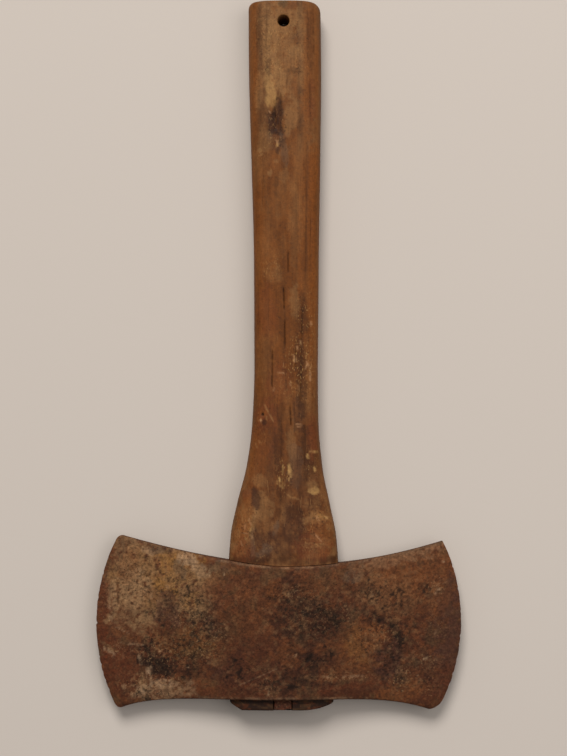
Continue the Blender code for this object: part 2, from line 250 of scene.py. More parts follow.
class Skin:
    """Collects points and four-sided faces, then writes one closed mesh."""

    def __init__(self):
        self.points = []
        self.faces = []
        self.count = 0

    def add(self, x, y, z):
        """Adds points and returns their numbers, in the shape of the arrays."""
        x, y, z = np.broadcast_arrays(x, y, z)
        self.points.append(np.stack([x.ravel(), y.ravel(), z.ravel()], axis=1))
        numbers = np.arange(self.count, self.count + x.size).reshape(x.shape)
        self.count += x.size
        return numbers

    def sheet(self, numbers, keep=None):
        """Faces between neighbouring rows and columns of numbers."""
        quads = np.stack([numbers[:-1, :-1], numbers[1:, :-1], numbers[1:, 1:], numbers[:-1, 1:]], axis=-1)
        quads = quads.reshape(-1, 4) if keep is None else quads[keep]
        self.faces.append(quads)

    def used_points(self):
        """Every point that a face uses; the faces are renumbered to match."""
        points = np.concatenate(self.points)
        used = np.unique(np.concatenate(self.faces))
        renumber = np.zeros(len(points), int)
        renumber[used] = np.arange(len(used))
        self.faces = [renumber[quads] for quads in self.faces]
        return points[used]

    def mesh(self, name, points):
        """The closed mesh, in metres, with all faces turned outward."""
        mesh = bpy.data.meshes.new(name)
        faces = [list(dict.fromkeys(face)) for face in np.concatenate(self.faces).tolist()]
        mesh.from_pydata((points * MM).tolist(), [], faces)
        work = bmesh.new()
        work.from_mesh(mesh)
        bmesh.ops.recalc_face_normals(work, faces=work.faces)
        work.to_mesh(mesh)
        work.free()
        mesh.validate()
        return mesh


DARKEST, LIGHTEST = 0.002, 0.9      # limits of a painted colour, as light


def paint(mesh, name, colours):
    """Writes one colour for each point, for the material to read."""
    layer = mesh.color_attributes.new(name, "FLOAT_COLOR", "POINT")
    rgba = np.concatenate([colours, np.ones((len(colours), 1))], axis=1)
    layer.data.foreach_set("color", rgba.astype(np.float32).ravel())


def show(name, skin, points, colour, wear, material, slot, sharp_angle):
    """Turns a skin into one named and painted piece in the scene; the angle is in degrees."""
    mesh = skin.mesh(name, points)
    paint(mesh, "patina", np.clip(colour, DARKEST, LIGHTEST))
    paint(mesh, "wear", np.clip(wear, 0, 1))
    mesh.shade_smooth()
    mesh.set_sharp_from_angle(angle=math.radians(sharp_angle))
    mesh.materials.append(material)
    piece = bpy.data.objects.new(name, mesh)
    bpy.context.scene.collection.objects.link(piece)
    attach(piece, "root")
    return piece


# The head's form

def back_edge(x):
    """Y of the head's edge on the haft's side."""
    side = x < 0
    rise = np.where(side, LEFT_BACK_RISE, RIGHT_BACK_RISE)
    curve = np.where(side, LEFT_BACK_CURVE, RIGHT_BACK_CURVE)
    return BACK_Y + rise * (np.abs(x) / WING_GAUGE_X) ** curve


def crown_edge(x):
    """Y of the head's edge on the tongue's side."""
    side = x < 0
    drop = np.where(side, LEFT_CROWN_DROP, RIGHT_CROWN_DROP)
    curve = np.where(side, LEFT_CROWN_CURVE, RIGHT_CROWN_CURVE)
    return np.maximum(CROWN_Y - drop * (np.abs(x) / WING_GAUGE_X) ** curve, head_low[1])


def corner_inset(gap, radius):
    """How far a rounded corner draws in at a distance from the end."""
    reach = np.clip(radius - gap, 0, radius)
    return radius - np.sqrt(radius ** 2 - reach ** 2)


def bit_edge(side, share):
    """X of the cutting edge at each share of the way from crown to back."""
    reach, radius, middle, crown_round, back_round = (
        (LEFT_REACH, LEFT_BIT_RADIUS, LEFT_BIT_MIDDLE_Y, LEFT_CROWN_ROUND, LEFT_BACK_ROUND) if side < 0
        else (RIGHT_REACH, RIGHT_BIT_RADIUS, RIGHT_BIT_MIDDLE_Y, RIGHT_CROWN_ROUND, RIGHT_BACK_ROUND))
    x = np.full_like(share, side * reach)
    for _ in range(8):
        low, high = crown_edge(x), back_edge(x)
        y = low + share * (high - low)
        sagitta = radius - np.sqrt(radius ** 2 - (y - middle) ** 2)
        inset = corner_inset(y - low, crown_round) + corner_inset(high - y, back_round)
        x = side * (reach - sagitta - inset)
    return x


def head_half_thickness(reach, inward):
    """Half the head's thickness at a distance from the bit: the bevel, then the wing up to the cheek."""
    bevel = EDGE_THICKNESS + (BEVEL_THICKNESS - EDGE_THICKNESS) * inward / BEVEL_LENGTH
    share = np.clip((inward - BEVEL_LENGTH) / (reach - CHEEK_HALF_LAND - BEVEL_LENGTH), 0, 1)
    swell = (1 - (1 - share) ** CHEEK_CURVE) ** WING_CURVE
    wing = BEVEL_THICKNESS + (CHEEK_THICKNESS - BEVEL_THICKNESS) * swell
    return np.where(inward < BEVEL_LENGTH, bevel, wing) / 2


# Nicks in the cutting edges: Y, depth, half length
LEFT_NICKS = ((6.0, 0.9, 1.1), (-18.0, 0.45, 1.0), (-23.5, 0.5, 1.2), (-29.0, 0.4, 0.9), (-34.5, 0.45, 1.0),
              (24.0, 0.35, 1.4), (41.0, 0.4, 1.2), (-41.0, 0.5, 1.3))
RIGHT_NICKS = ((-3.0, 0.5, 1.2), (-9.0, 0.35, 0.8), (-30.0, 0.5, 1.4), (-38.0, 0.4, 1.0), (14.0, 0.3, 1.0),
               (30.0, 0.35, 1.3), (46.0, 0.4, 1.1), (-20.0, 0.3, 0.8))


def nick_depth(side, y):
    """How far wear and nicks have eaten into a cutting edge."""
    depth = 0.16 * (1 + layered(y, 0 * y, 0 * y, 5.0, 31 if side < 0 else 32))
    for place, deep, half in (LEFT_NICKS if side < 0 else RIGHT_NICKS):
        depth = depth + deep * np.clip(1 - ((y - place) / half) ** 2, 0, 1)
    return depth


def eye_half_height(share):
    """Half the eye's height at each share of its half width."""
    return EYE_HEIGHT / 2 * np.clip(1 - np.abs(share) ** EYE_ROUNDNESS, 0, 1) ** (1 / EYE_ROUNDNESS)


UPPER_SEED, UNDER_SEED = 100, 200
SMALL_PIT_SPACING, LARGE_PIT_SPACING = 2.1, 4.2

# Where the rust has pitted most: centre X, Y, half width, half height, turn if any, strength
PITTED = (
    (22, 16, 15, 9, -20, 0.95), (33, 6, 9, 8, 0.85), (7, 27, 9, 6, 0.75), (10, 6, 12, 10, 0.6),
    (-55, 5, 12, 9, -15, 0.9), (-46, 0, 7, 7, 0.7), (-98, -10, 5, 6, 0.7), (-87, -25, 10, 9, 1.0),
    (-70, -14, 12, 8, 0.6), (66, 9, 12, 6, -20, 0.85), (82, -6, 5, 7, 20, 1.0), (61, 27, 7, 8, 0.7),
    (76, -18, 8, 12, 10, 0.7), (20, -20, 8, 8, 0.75), (10, -34, 10, 6, 0.6), (-14, -36, 7, 5, 0.6),
    (84, -34, 8, 8, 0.5), (-8, 26, 6, 6, 0.6), (30, -15, 5, 5, 0.8), (-66, 18, 8, 8, 0.5),
    (-83, 20, 4, 5, 0.6), (-93, 14, 5, 3, 0.6), (100, 30, 4, 5, 0.6), (104, -38, 8, 6, 0.5),
)


def pitting(x, y):
    """How pitted the iron is, from 0 to 1."""
    warp_x, warp_y = layered(x, y, 0 * x, 9.0, 41), layered(x, y, 0 * x, 9.0, 42)
    return zones(x + 3.0 * warp_x, y + 3.0 * warp_y, PITTED)


def rust_pits(x, y, upper):
    """Depth of the small and of the large pits, and how pitted the iron is."""
    seed = UPPER_SEED if upper else UNDER_SEED
    zone = pitting(x, y) if upper else pitting(-x, y) * 0.8
    small = pits(x, y, SMALL_PIT_SPACING, seed + 3, 0.10 + 0.75 * zone)
    large = pits(x + 7, y, LARGE_PIT_SPACING, seed + 4, 0.05 + 0.5 * zone)
    return small, large, zone


def head_relief(x, y, upper, thickness):
    """How far the rusted surface lies inside the forged form; never negative."""
    seed = UPPER_SEED if upper else UNDER_SEED
    small, large, zone = rust_pits(x, y, upper)
    swell = 0.10 * (1 + layered(x, y, 0 * x, 30.0, seed, 2))
    scale = 0.075 * (1 + layered(x, y, 0 * x, 6.0, seed + 1, 3))
    flakes = 0.10 * smooth((layered(x, y, 0 * x, 3.2, seed + 2, 3) - 0.15) * 3)
    pitted = 0.30 * small * (0.45 + zone) + 0.34 * large * (0.3 + zone)
    depth = swell + scale + flakes * (0.4 + zone) + pitted
    return depth * np.clip(thickness / 6.0, 0.12, 1.0)


# Colours of the iron, as they look on screen
RUST = linear(86, 50, 31)
RUST_DARK = linear(58, 33, 21)
RUST_RED = linear(86, 44, 25)
RUST_ORANGE = linear(106, 62, 33)
OCHRE = linear(134, 92, 46)
TAN = linear(124, 92, 62)
PALE = linear(160, 128, 98)
GREY = linear(84, 66, 51)
DUSTY = linear(124, 92, 66)
OLIVE = linear(82, 62, 40)
CHALKY = linear(150, 115, 80)
PLUM = linear(72, 44, 33)
SOOT = linear(29, 18, 12)
RUST_WEDGE = linear(78, 45, 32)

# Colour patches on the upper face: tint, centre X, Y, half width, half height, turn if any, strength
HEAD_PATCHES = (
    (RUST_DARK, 6, -12, 46, 36, 0.2), (TAN, -98, 34, 36, 30, 0.6), (OCHRE, -96, 36, 30, 20, 0.42),
    (OCHRE, -66, 46, 22, 11, -16, 0.5), (TAN, -106, 22, 18, 20, 10, 0.3), (TAN, -110, 45, 10, 6, 0.35),
    (TAN, -72, 26, 18, 12, 0.35), (TAN, -100, 48, 14, 7, -10, 0.35), (TAN, -64, 34, 18, 14, -20, 0.3),
    (PALE, -106, 30, 12, 14, 0.25), (OCHRE, -82, 34, 9, 9, 0.85), (PALE, -67, 50, 8, 5, -30, 0.6),
    (PALE, -58, 43, 9, 5, -30, 0.55), (TAN, -56, 40, 12, 8, -15, 0.45), (PALE, -122, 26, 5, 9, 0.2),
    (TAN, -98, 8, 10, 8, 0.7), (TAN, -62.5, 13, 5.5, 10, 8, 0.95), (OCHRE, -65, 22, 5, 7, 0.35),
    (RUST, -70, 4, 6, 10, 0.6), (PALE, -97, 56, 5, 2.4, -14, 0.35), (RUST_ORANGE, -112, 46, 8, 12, 0.4),
    (TAN, -114, 62, 9, 7, -10, 0.55), (RUST_RED, -117, 42, 4, 6, 0.4), (GREY, -92, 59, 5, 3.4, 0.6),
    (TAN, -84, 58, 7, 3, -12, 0.4), (GREY, -73, 44, 4, 6, 20, 0.55), (GREY, -46, 45, 9, 5, -8, 0.5),
    (PLUM, -82, 14, 8, 17, 0.8), (RUST_DARK, -81, 22, 5, 6, 0.5), (RUST_RED, -84, -2, 7, 12, 0.5),
    (PLUM, -45, 28, 10, 10, 0.4), (RUST_ORANGE, -50, 30, 10, 7, 0.4), (RUST_DARK, -36, -2, 14, 17, 0.35),
    (PLUM, -36, -26, 15, 10, 0.5), (RUST_RED, -28, -40, 18, 7, 0.5),
    (RUST_RED, -117, -27, 14, 19, 20, 0.85), (RUST_RED, -129.5, 10, 5, 40, 0.9),
    (RUST, -115, 8, 8, 10, 0.5), (DUSTY, -91, -41, 19, 8, -4, 0.85), (PALE, -95, -29, 3, 7, 12, 0.6),
    (DUSTY, -76, -40, 16, 6, -8, 0.75), (PALE, -84, -36, 10, 3, -8, 0.45),
    (GREY, -100, -42, 6, 2.4, 10, 0.6), (RUST_RED, -122, -7, 10, 2.4, -32, 0.9),
    (TAN, -125, -11, 6, 2.4, -35, 0.55), (TAN, -123, 14, 2.4, 9, -6, 0.6),
    (RUST_ORANGE, -114, -3, 10, 3, -25, 0.5), (RUST_DARK, -64, -28, 11, 6, 0.35),
    (GREY, -50, 4, 9, 8, 0.35), (RUST_ORANGE, -28, 15, 20, 22, 0.3), (RUST_ORANGE, -44, -14, 9, 9, 0.35),
    (OCHRE, -72, -8, 20, 12, 0.22), (RUST_RED, -22, -18, 20, 16, 0.4), (RUST_ORANGE, 5, -17, 7, 8, 0.5),
    (RUST_DARK, -42, 6, 7, 10, 0.3), (RUST_ORANGE, -4, 30, 10, 7, 0.4), (RUST_DARK, 8, 36, 13, 8, 0.3),
    (RUST_ORANGE, 50, -10, 12, 16, 10, 0.75), (OCHRE, 52, -8, 9, 10, 0.2),
    (RUST_ORANGE, 46, -27, 16, 6, 0.4), (RUST_DARK, 20, 9, 25, 17, -18, 0.6),
    (RUST_DARK, 33, 5, 10, 10, 0.3), (RUST_DARK, 20, -20, 8, 7, 0.6), (RUST_DARK, 5, -34, 13, 7, 0.4),
    (RUST_RED, 50, -41, 28, 6, 3, 0.8), (RUST_DARK, 44, -44, 20, 4, 3, 0.5),
    (RUST_ORANGE, 88, -43, 20, 6, 7, 0.7), (RUST_ORANGE, 63, -3, 10, 9, 0.85),
    (RUST_ORANGE, 40, 36, 14, 8, 0.3), (GREY, 49, 41, 10, 7, 10, 0.6), (TAN, 61, 44, 13, 7, 18, 0.35),
    (DUSTY, 84, 56, 28, 4, 13, 0.75), (RUST_ORANGE, 92, 40, 28, 20, 10, 0.6),
    (RUST_ORANGE, 78, 27, 24, 17, 0.5), (TAN, 74, 24, 22, 15, 0.22), (RUST_ORANGE, 60, 48, 18, 6, 10, 0.4),
    (PLUM, 119, -12, 11, 46, 0.8), (RUST_RED, 112, -38, 14, 16, 0.6), (PLUM, 76, -20, 11, 12, 0.75),
    (RUST_DARK, 61, 28, 8, 5, 0.5), (TAN, 87, -33, 3, 6, 15, 0.4), (RUST_DARK, 102, 28, 4, 5, 0.4),
    (RUST_DARK, 66, 9, 6, 4, 0.5), (RUST_DARK, 76, 2, 9, 2.6, -38, 0.7),
    (RUST_DARK, -122, 52, 5, 14, -28, 0.3), (RUST_ORANGE, 112, 22, 6, 12, 0.35), (TAN, -80, 37, 7, 6, 0.5),
    (RUST, -93, 27, 7, 5, 0.3), (TAN, -100, -33, 7, 6, 0.5), (TAN, -100, 0, 6, 6, 0.6),
    (DUSTY, -92, -45, 14, 4, 0.4), (TAN, -116, 46, 6, 9, 0.4), (DUSTY, 84, 52, 28, 5, 13, 0.45),
    (RUST_ORANGE, -34, 46, 8, 6, 0.4), (RUST_DARK, 84, 17, 13, 5, 0.35), (RUST_DARK, 108, 0, 7, 11, 0.35),
    (RUST_DARK, 104, -22, 12, 7, 0.35), (RUST_DARK, 0, 30, 7, 7, 0.35), (RUST_DARK, -82, -6, 7, 10, 0.35),
    (RUST_ORANGE, 20, 33, 6, 6, 0.4), (RUST_DARK, -18, -24, 30, 22, 0.2),
    (RUST_ORANGE, -10, 26, 4, 10, 0.3),
)
# Where black dirt lies, in specks, or closed up where it is strongest: the same numbers as above
SOOTY = (
    (-87, -25, 7, 6, 20, 1.0), (-92, -21, 9, 2.6, 1.0), (-100, -22, 5, 3, 0.9), (-84, -28, 4, 4, 1.0),
    (-97, -11, 4.5, 6, 0.7), (-75, -25, 11, 6, 0.42), (-66, -32, 8, 6, 0.3), (82, -7, 3, 7, 20, 0.9),
    (76, 2, 8, 2.4, -38, 0.5), (66, 9, 5, 3.5, 0.55), (60, 29, 7, 5, 0.5), (76, -18, 10, 12, 0.36),
    (18, 12, 20, 13, -20, 0.38), (20, -20, 6, 5, 0.5), (33, 6, 9, 8, 0.36), (4, -34, 10, 6, 0.4),
    (-57, 6, 14, 10, 0.5), (-67, -8, 13, 9, 0.44), (-14, -36, 7, 6, 0.4), (31, -15, 5, 5, 0.5),
    (-8, 26, 5, 5, 0.4), (101, 27, 4, 5, 0.38), (-60, 22, 6, 5, 0.38), (-93, 15, 6, 4, 0.38),
    (-36, -26, 10, 9, 0.3), (-70, -14, 14, 8, 0.38), (78, 22, 14, 10, 0.3), (84, -34, 6, 8, 0.38),
    (-96, -44, 12, 5, 0.34), (-104, -14, 8, 6, 0.3), (-72, 30, 8, 10, 0.3), (-84, 8, 5, 8, 0.36),
)
# Where pale specks of worn or dusty metal lie: centre X, Y, half width, half height, strength
SPECKLED = (
    (-92, -38, 22, 9, 0.9), (-84, -14, 22, 10, 0.7), (-66, 12, 16, 16, 0.7), (-60, -10, 16, 12, 0.7),
    (68, -4, 14, 9, 0.6), (45, -31, 22, 4, 0.8), (8, 27, 12, 6, 0.8), (84, -33, 8, 10, 0.8),
    (-122, -13, 9, 6, 0.8), (-123, 14, 3, 10, 0.7), (100, -20, 12, 6, 0.6), (108, 30, 8, 10, 0.6),
    (22, 10, 18, 14, 0.4), (-105, 25, 25, 25, 0.5), (-45, 0, 10, 8, 0.6), (62, 24, 8, 6, 0.6),
    (-10, -38, 8, 6, 0.5), (104, -38, 8, 6, 0.5), (44, 14, 5, 8, 0.5), (108, 2, 8, 8, 0.4),
)
# Small pits in the tan and orange areas: centre X, Y, half width, half height, strength
TAN_PITS = (
    (-96, 36, 34, 24, 0.8), (-66, 20, 20, 18, 0.9), (-84, -12, 24, 12, 1.0), (-60, -12, 20, 14, 0.9),
    (-96, -38, 22, 10, 0.8), (-25, 25, 22, 22, 0.5), (70, 0, 26, 26, 0.9), (15, 15, 30, 24, 0.9),
    (60, 30, 22, 12, 0.8), (15, -28, 24, 16, 0.8), (95, 30, 22, 26, 0.4), (85, -30, 22, 14, 0.7),
    (-20, -30, 24, 12, 0.6),
)
# Pale flecks and scratches: from X, Y to X, Y, half width, strength
HEAD_SCRATCHES = (
    (-94, -24, -97, -33, 1.5, 0.6), (-104, -38, -98, -44, 1.3, 0.6), (-103, -15, -101, -25, 1.1, 0.45),
    (-32, -37, -2, -24, 0.4, 0.22), (-18, -35, -9, -31, 0.4, 0.3), (-121, 4, -106, -3, 0.5, 0.35),
    (-118, -8, -98, -9.5, 0.5, 0.35), (-124, 20, -122, 6, 0.8, 0.4), (-128, -11, -119, -17, 1.2, 0.5),
    (7.5, -17, 9, -14, 0.9, 0.9), (-12, -38, -10, -44, 0.7, 0.4), (28, -31, 33, -31, 0.7, 0.5),
    (40, -31, 58, -31, 0.8, 0.3), (112, 49, 115, 49.5, 0.6, 0.7), (103, -18, 99, -19.5, 0.8, 0.45),
    (110, -2, 107, -2, 0.8, 0.4), (107, 26, 112, 31, 0.8, 0.35), (-41.5, 40, -42.5, 42.5, 0.5, 0.7),
    (-67.8, -25.5, -67.2, -24.9, 1.0, 0.95), (-88, -13, -84, -17, 0.8, 0.4),
    (-101, -38, -92, -39, 1.0, 0.4), (96, -30, 94, -33, 0.6, 0.4), (62, 24, 64, 27, 0.8, 0.3),
)


def head_colour(x, y, z, upper, small, large, zone):
    """Rust, old dirt and worn metal over the head, with painted light darker towards the crown."""
    seed = 300 if upper else 400
    mottle = layered(x, y, z, 4.5, seed + 3)
    grit = layered(x, y, z, 2.0, seed + 4, 2)
    wx = x + 3.4 * layered(x, y, z, 15.0, seed) + 1.5 * layered(x, y, z, 5.0, seed + 5)
    wy = y + 3.4 * layered(x, y, z, 15.0, seed + 1) + 1.5 * layered(x, y, z, 5.0, seed + 6)
    broad = layered(x, y, z, 22.0, seed + 2)
    fray = 0.9 * mottle + 1.15 * grit
    colour = np.tile(RUST, (len(x), 1))
    colour = coated(colour, (
        (RUST_RED, 0.5 * smooth(0.5 + 1.2 * broad)),
        (RUST_DARK, 0.6 * smooth(0.35 + 1.1 * mottle + 0.7 * grit)),
        (RUST_ORANGE, 0.45 * smooth(0.2 - 1.2 * mottle - 0.6 * grit)),
        (OLIVE, 0.55 * smooth(0.1 + 1.3 * layered(x, y, z, 7.0, seed + 9, 4)))))
    across = 1 if upper else -1
    share = 1.0 if upper else 0.75
    colour = patched(colour, wx * across, wy, HEAD_PATCHES, share, fray, 0.5)
    crumbly = 0.3 + 0.7 * zones(x * across + 2.0 * mottle, y + 2.0 * grit, TAN_PITS)
    crumbs = layered(x, y, z, 2.8, seed + 10, 3)
    colour = coated(colour, (
        (TAN, 0.42 * crumbly * smooth(1.5 * crumbs - 0.2)),
        (SOOT, 0.62 * crumbly * smooth(-1.5 * crumbs - 0.25))))
    dirt = share * zones(wx * across, wy, SOOTY)
    specks = 0.6 * grit + 0.5 * layered(x, y, z, 3.2, seed + 8, 2)
    soot = smooth(1.9 * (1.55 * dirt - 0.85 + specks) + 0.5) * smooth(dirt * 6)
    colour = coated(colour, (
        (SOOT, 0.86 * soot),
        (RUST_DARK, 0.8 * smooth((-grit - 0.3) * 3) * (0.4 + 0.6 * zone)),
        (SOOT, 0.75 * small * (0.35 + 0.65 * zone)),
        (SOOT, 0.6 * large * (0.25 + 0.75 * zone))))
    speckled = zones(wx * across, wy, SPECKLED) * (1 - 0.6 * soot) * np.where(x * across < 0, 1, 0.65)
    colour = tinted(colour, CHALKY, 0.45 * smooth((grit - 0.3) * 3) * speckled)
    if upper:
        for x0, y0, x1, y1, width, strength in HEAD_SCRATCHES:
            line = stroke(x + 0.5 * grit, y + 0.5 * grit, x0, y0, x1, y1, width)
            colour = tinted(colour, PALE, strength * line * smooth(0.75 + 0.9 * grit))
    # painted light: the whole head is darkened towards the crown and brightened towards the back, as if lit
    # from beyond the back
    shade = np.interp(y, (-56, -30, 0, 30, 66), (0.88, 0.92, 0.95, 1.01, 1.13))[:, None]
    return colour * shade


# The head's mesh

def head_columns():
    """X of each column of points: even steps out to the bits, and both ends of the eye met exactly."""
    eye_left, eye_right = EYE_OFFSET_X - EYE_WIDTH / 2, EYE_OFFSET_X + EYE_WIDTH / 2
    left = np.linspace(-LEFT_REACH, eye_left, LEFT_COLUMNS + 1)[:-1]
    middle = np.linspace(eye_left, eye_right, EYE_COLUMNS + 1)
    right = np.linspace(eye_right, RIGHT_REACH, RIGHT_COLUMNS + 1)[1:]
    return np.concatenate([left, middle, right])


def head_grid(rows):
    """X, Y and half thickness for each column and row."""
    columns = head_columns()
    sides = np.where(columns < 0, -1, 1)
    reach = np.where(columns < 0, LEFT_REACH, RIGHT_REACH)
    bits = {side: np.abs(bit_edge(side, rows)) for side in (-1, 1)}
    bit = np.stack([bits[side] for side in sides])
    drawn_in = (reach[:, None] - bit) * (np.abs(columns) / reach)[:, None] ** 4
    across = np.abs(columns)[:, None] - drawn_in
    share = 1 - across / bit
    inward = share * reach[:, None]
    half = head_half_thickness(reach[:, None], np.clip(inward, 0, None))
    x = sides[:, None] * across
    low, high = crown_edge(x), back_edge(x)
    y = low + rows * (high - low)
    nick = np.stack([nick_depth(side, y[i]) for i, side in enumerate(sides)])
    x = x - sides[:, None] * nick * np.clip(1 - inward / 5.0, 0, 1) ** 2
    return x, y, half


def perimeter(columns, rows):
    """Column and row numbers once round the edge of the grid."""
    crown = [(c, 0) for c in range(columns)]
    right = [(columns - 1, r) for r in range(1, rows)]
    back = [(c, rows - 1) for c in range(columns - 2, -1, -1)]
    left = [(0, r) for r in range(rows - 2, 0, -1)]
    return np.array(crown + right + back + left).T


def eye_rims(skin, first, last):
    """Points round both mouths of the eye: (upper arc, lower arc) at the crown and at the back."""
    turn = np.linspace(-1, 1, last - first + 1)
    share = 0.3 * turn + 0.7 * np.sin(turn * math.pi / 2)
    rim_x, rim_half = EYE_OFFSET_X + share * EYE_WIDTH / 2, eye_half_height(share)
    rims = []
    for edge in (crown_edge, back_edge):
        rim_y = edge(rim_x)
        upper = skin.add(rim_x, rim_y, MIDDLE_Z + rim_half)
        lower = upper.copy()
        lower[1:-1] = skin.add(rim_x[1:-1], rim_y[1:-1], MIDDLE_Z - rim_half[1:-1])
        rims.append((upper, lower))
    return rims


def head_faces(skin):
    """The upper and the lower face: X and Y of their grid, and the point numbers of each."""
    ease = EDGE_EASE / (BACK_Y - CROWN_Y)
    inner = ease + (1 - 2 * ease) * np.linspace(0, 1, HEAD_ROWS)[1:-1]
    near = ease * np.array(EASE_STEPS)
    rows = np.concatenate([near, inner, 1 - near[::-1]])
    x, y, half = head_grid(rows)
    edge_gap = np.minimum(rows, 1 - rows) / ease
    drop = 1 - np.sqrt(np.clip(1 - np.clip(1 - edge_gap, 0, 1) ** 2, 0, 1))
    eased = np.maximum(half - EDGE_EASE * drop, half * (1 - (1 - EDGE_EASE_FLOOR) * drop))
    sheets = {}
    for upper in (True, False):
        relief = head_relief(x.ravel(), y.ravel(), upper, 2 * half.ravel()).reshape(x.shape)
        z = MIDDLE_Z + (1 if upper else -1) * np.maximum(eased - relief, 0.3 * half)
        sheets[upper] = skin.add(x, y, z)
        skin.sheet(sheets[upper])
    return x, y, sheets


def close_head(skin, x, y, sheets):
    """Joins the two faces round the edge, and lines the eye from crown to back."""
    first, last = LEFT_COLUMNS, LEFT_COLUMNS + EYE_COLUMNS
    last_row = x.shape[1] - 1
    rims = eye_rims(skin, first, last)
    ring_column, ring_row = perimeter(*x.shape)
    in_eye = (ring_column >= first) & (ring_column <= last) & np.isin(ring_row, (0, last_row))
    middle = skin.add(x[ring_column, ring_row], y[ring_column, ring_row], MIDDLE_Z)
    steps = np.linspace(0, 1, WALL_STEPS + 1)[1:-1]
    on_crown, on_back = (ring_row == 0)[:, None], (ring_row == last_row)[:, None]
    on_bit = np.isin(ring_column, (0, x.shape[0] - 1))[:, None]
    for part, upper in enumerate((True, False)):
        centre = middle.copy()
        for rim, row in zip(rims, (0, last_row)):
            here = in_eye & (ring_row == row)
            centre[here] = rim[part][ring_column[here] - first]
        face = sheets[upper][ring_column, ring_row]
        points = np.concatenate(skin.points)
        a, b = points[face][:, None], points[centre][:, None]
        between = a + (b - a) * steps[None, :, None]
        rough = 0.22 * np.abs(layered(*between.reshape(-1, 3).T, 5.0, 55)).reshape(between.shape[:2])
        wall_y = np.where(on_crown, crown_edge(between[..., 0]) + rough, between[..., 1])
        wall_y = np.where(on_back, back_edge(between[..., 0]) - rough, wall_y)
        wall_y = np.where(on_bit, between[..., 1], wall_y)
        wall = skin.add(between[..., 0], wall_y, between[..., 2])
        strips = np.concatenate([face[:, None], wall, centre[:, None]], axis=1)
        skin.sheet(np.concatenate([strips, strips[:1]]))
        skin.sheet(np.stack([rims[0][part], rims[1][part]], axis=1))


def build_head(material):
    """The forged head, with rusted faces and an open eye."""
    skin = Skin()
    close_head(skin, *head_faces(skin))
    points = skin.used_points()
    return show("axe_head_rusted", skin, points, *head_paint(points), material, "rusted_iron", 60)


def head_paint(points):
    """Colour of every point of the head with a painted edge highlight, and where its pits and pale specks
    lie.
    """
    x, y, z = points.T
    colours = np.zeros((len(points), 3))
    wear = np.zeros((len(points), 3))
    for upper in (True, False):
        part = (z > MIDDLE_Z) == upper
        px, py, pz = x[part], y[part], z[part]
        small, large, zone = rust_pits(px, py, upper)
        colour = head_colour(px, py, pz, upper, small, large, zone)
        across = px if upper else -px
        warp_x, warp_y = 2.5 * layered(px, py, pz, 9.0, 91), 2.5 * layered(px, py, pz, 9.0, 92)
        wear[part, 0] = np.maximum(zone, 0.75 * zones(across + warp_x, py + warp_y, TAN_PITS))
        wear[part, 1] = zones(across + warp_x, py + warp_y, SPECKLED)
        gap = np.minimum(py - crown_edge(px), back_edge(px) - py)
        # pale line about a millimetre in from the crown and back edges near the eye: partly rubbed metal,
        # partly a painted highlight where the rounded edge catches the light
        worn = np.exp(-((gap - 1.1) / 0.8) ** 2) * smooth(0.6 + layered(px, py, pz, 6.0, 77))
        colour = tinted(colour, PALE, 0.34 * worn * (np.abs(px) < 60))
        grey = smooth(1 - gap / 3.5) * smooth(0.7 + layered(px, py, pz, 9.0, 78))
        grey = grey * (np.abs(px) > 30) * (py > 0)
        colour = tinted(colour, GREY, 0.5 * grey)
        colours[part] = colour
    wall = (y < crown_edge(x) + 0.5) | (y > back_edge(x) - 0.5)
    wall = wall & (np.abs(z - MIDDLE_Z) < 12)
    grime = layered(x, y, z, 5.0, 61)
    wall_colour = tinted(np.tile(RUST, (len(points), 1)), RUST_DARK, 0.5 + 0.6 * grime)
    wall_colour = tinted(wall_colour, GREY, 0.4 * smooth(0.3 + layered(x, y, z, 14.0, 62)))
    colours[wall] = 0.65 * wall_colour[wall] + 0.35 * colours[wall]
    return colours, wear


# The haft's form

def curve_through(table, share):
    """Reads a table of (share, value) with a smooth curve that never overshoots."""
    knots, values = np.array(table).T
    slopes = np.diff(values) / np.diff(knots)
    share = np.clip(share, knots[0], knots[-1])
    i = np.clip(np.searchsorted(knots, share, side="left") - 1, 0, len(slopes) - 1)
    own, before = slopes[i], slopes[np.maximum(i - 1, 0)]
    after = slopes[np.minimum(i + 1, len(slopes) - 1)]

    def gradient(other):
        total = np.where(other + own == 0, 1.0, other + own)
        return np.where(other * own > 0, 2 * other * own / total, 0.0)

    start, end = gradient(before), gradient(after)
    span = knots[i + 1] - knots[i]
    t = (share - knots[i]) / span
    return (values[i] * (2 * t ** 3 - 3 * t ** 2 + 1) + values[i + 1] * (3 * t ** 2 - 2 * t ** 3)
            + span * start * (t ** 3 - 2 * t ** 2 + t) + span * end * (t ** 3 - t ** 2))


def oval(half_left, half_right, half_height, roundness):
    """X and Z round one section at even distances, from +X over the top; the underside mirrors it."""
    angle = np.linspace(0, math.pi, 1201)
    c, s = np.cos(angle), np.clip(np.sin(angle), 0, 1)
    half = np.where(c >= 0, half_right, half_left)
    u = half * np.sign(c) * np.abs(c) ** (2 / roundness)
    w = half_height * s ** (2 / roundness)
    run = np.concatenate([[0.0], np.cumsum(np.hypot(np.diff(u), np.diff(w)))])
    marks = np.linspace(0, run[-1], HAFT_POINTS // 2 + 1)
    top_u, top_w = np.interp(marks, run, u), np.interp(marks, run, w)
    return np.concatenate([top_u, top_u[-2:0:-1]]), np.concatenate([top_w, -top_w[-2:0:-1]])


def seat_y(x):
    """Y of the haft's shoulder, which sits on the head."""
    return back_edge(x) + FIT_CLEARANCE


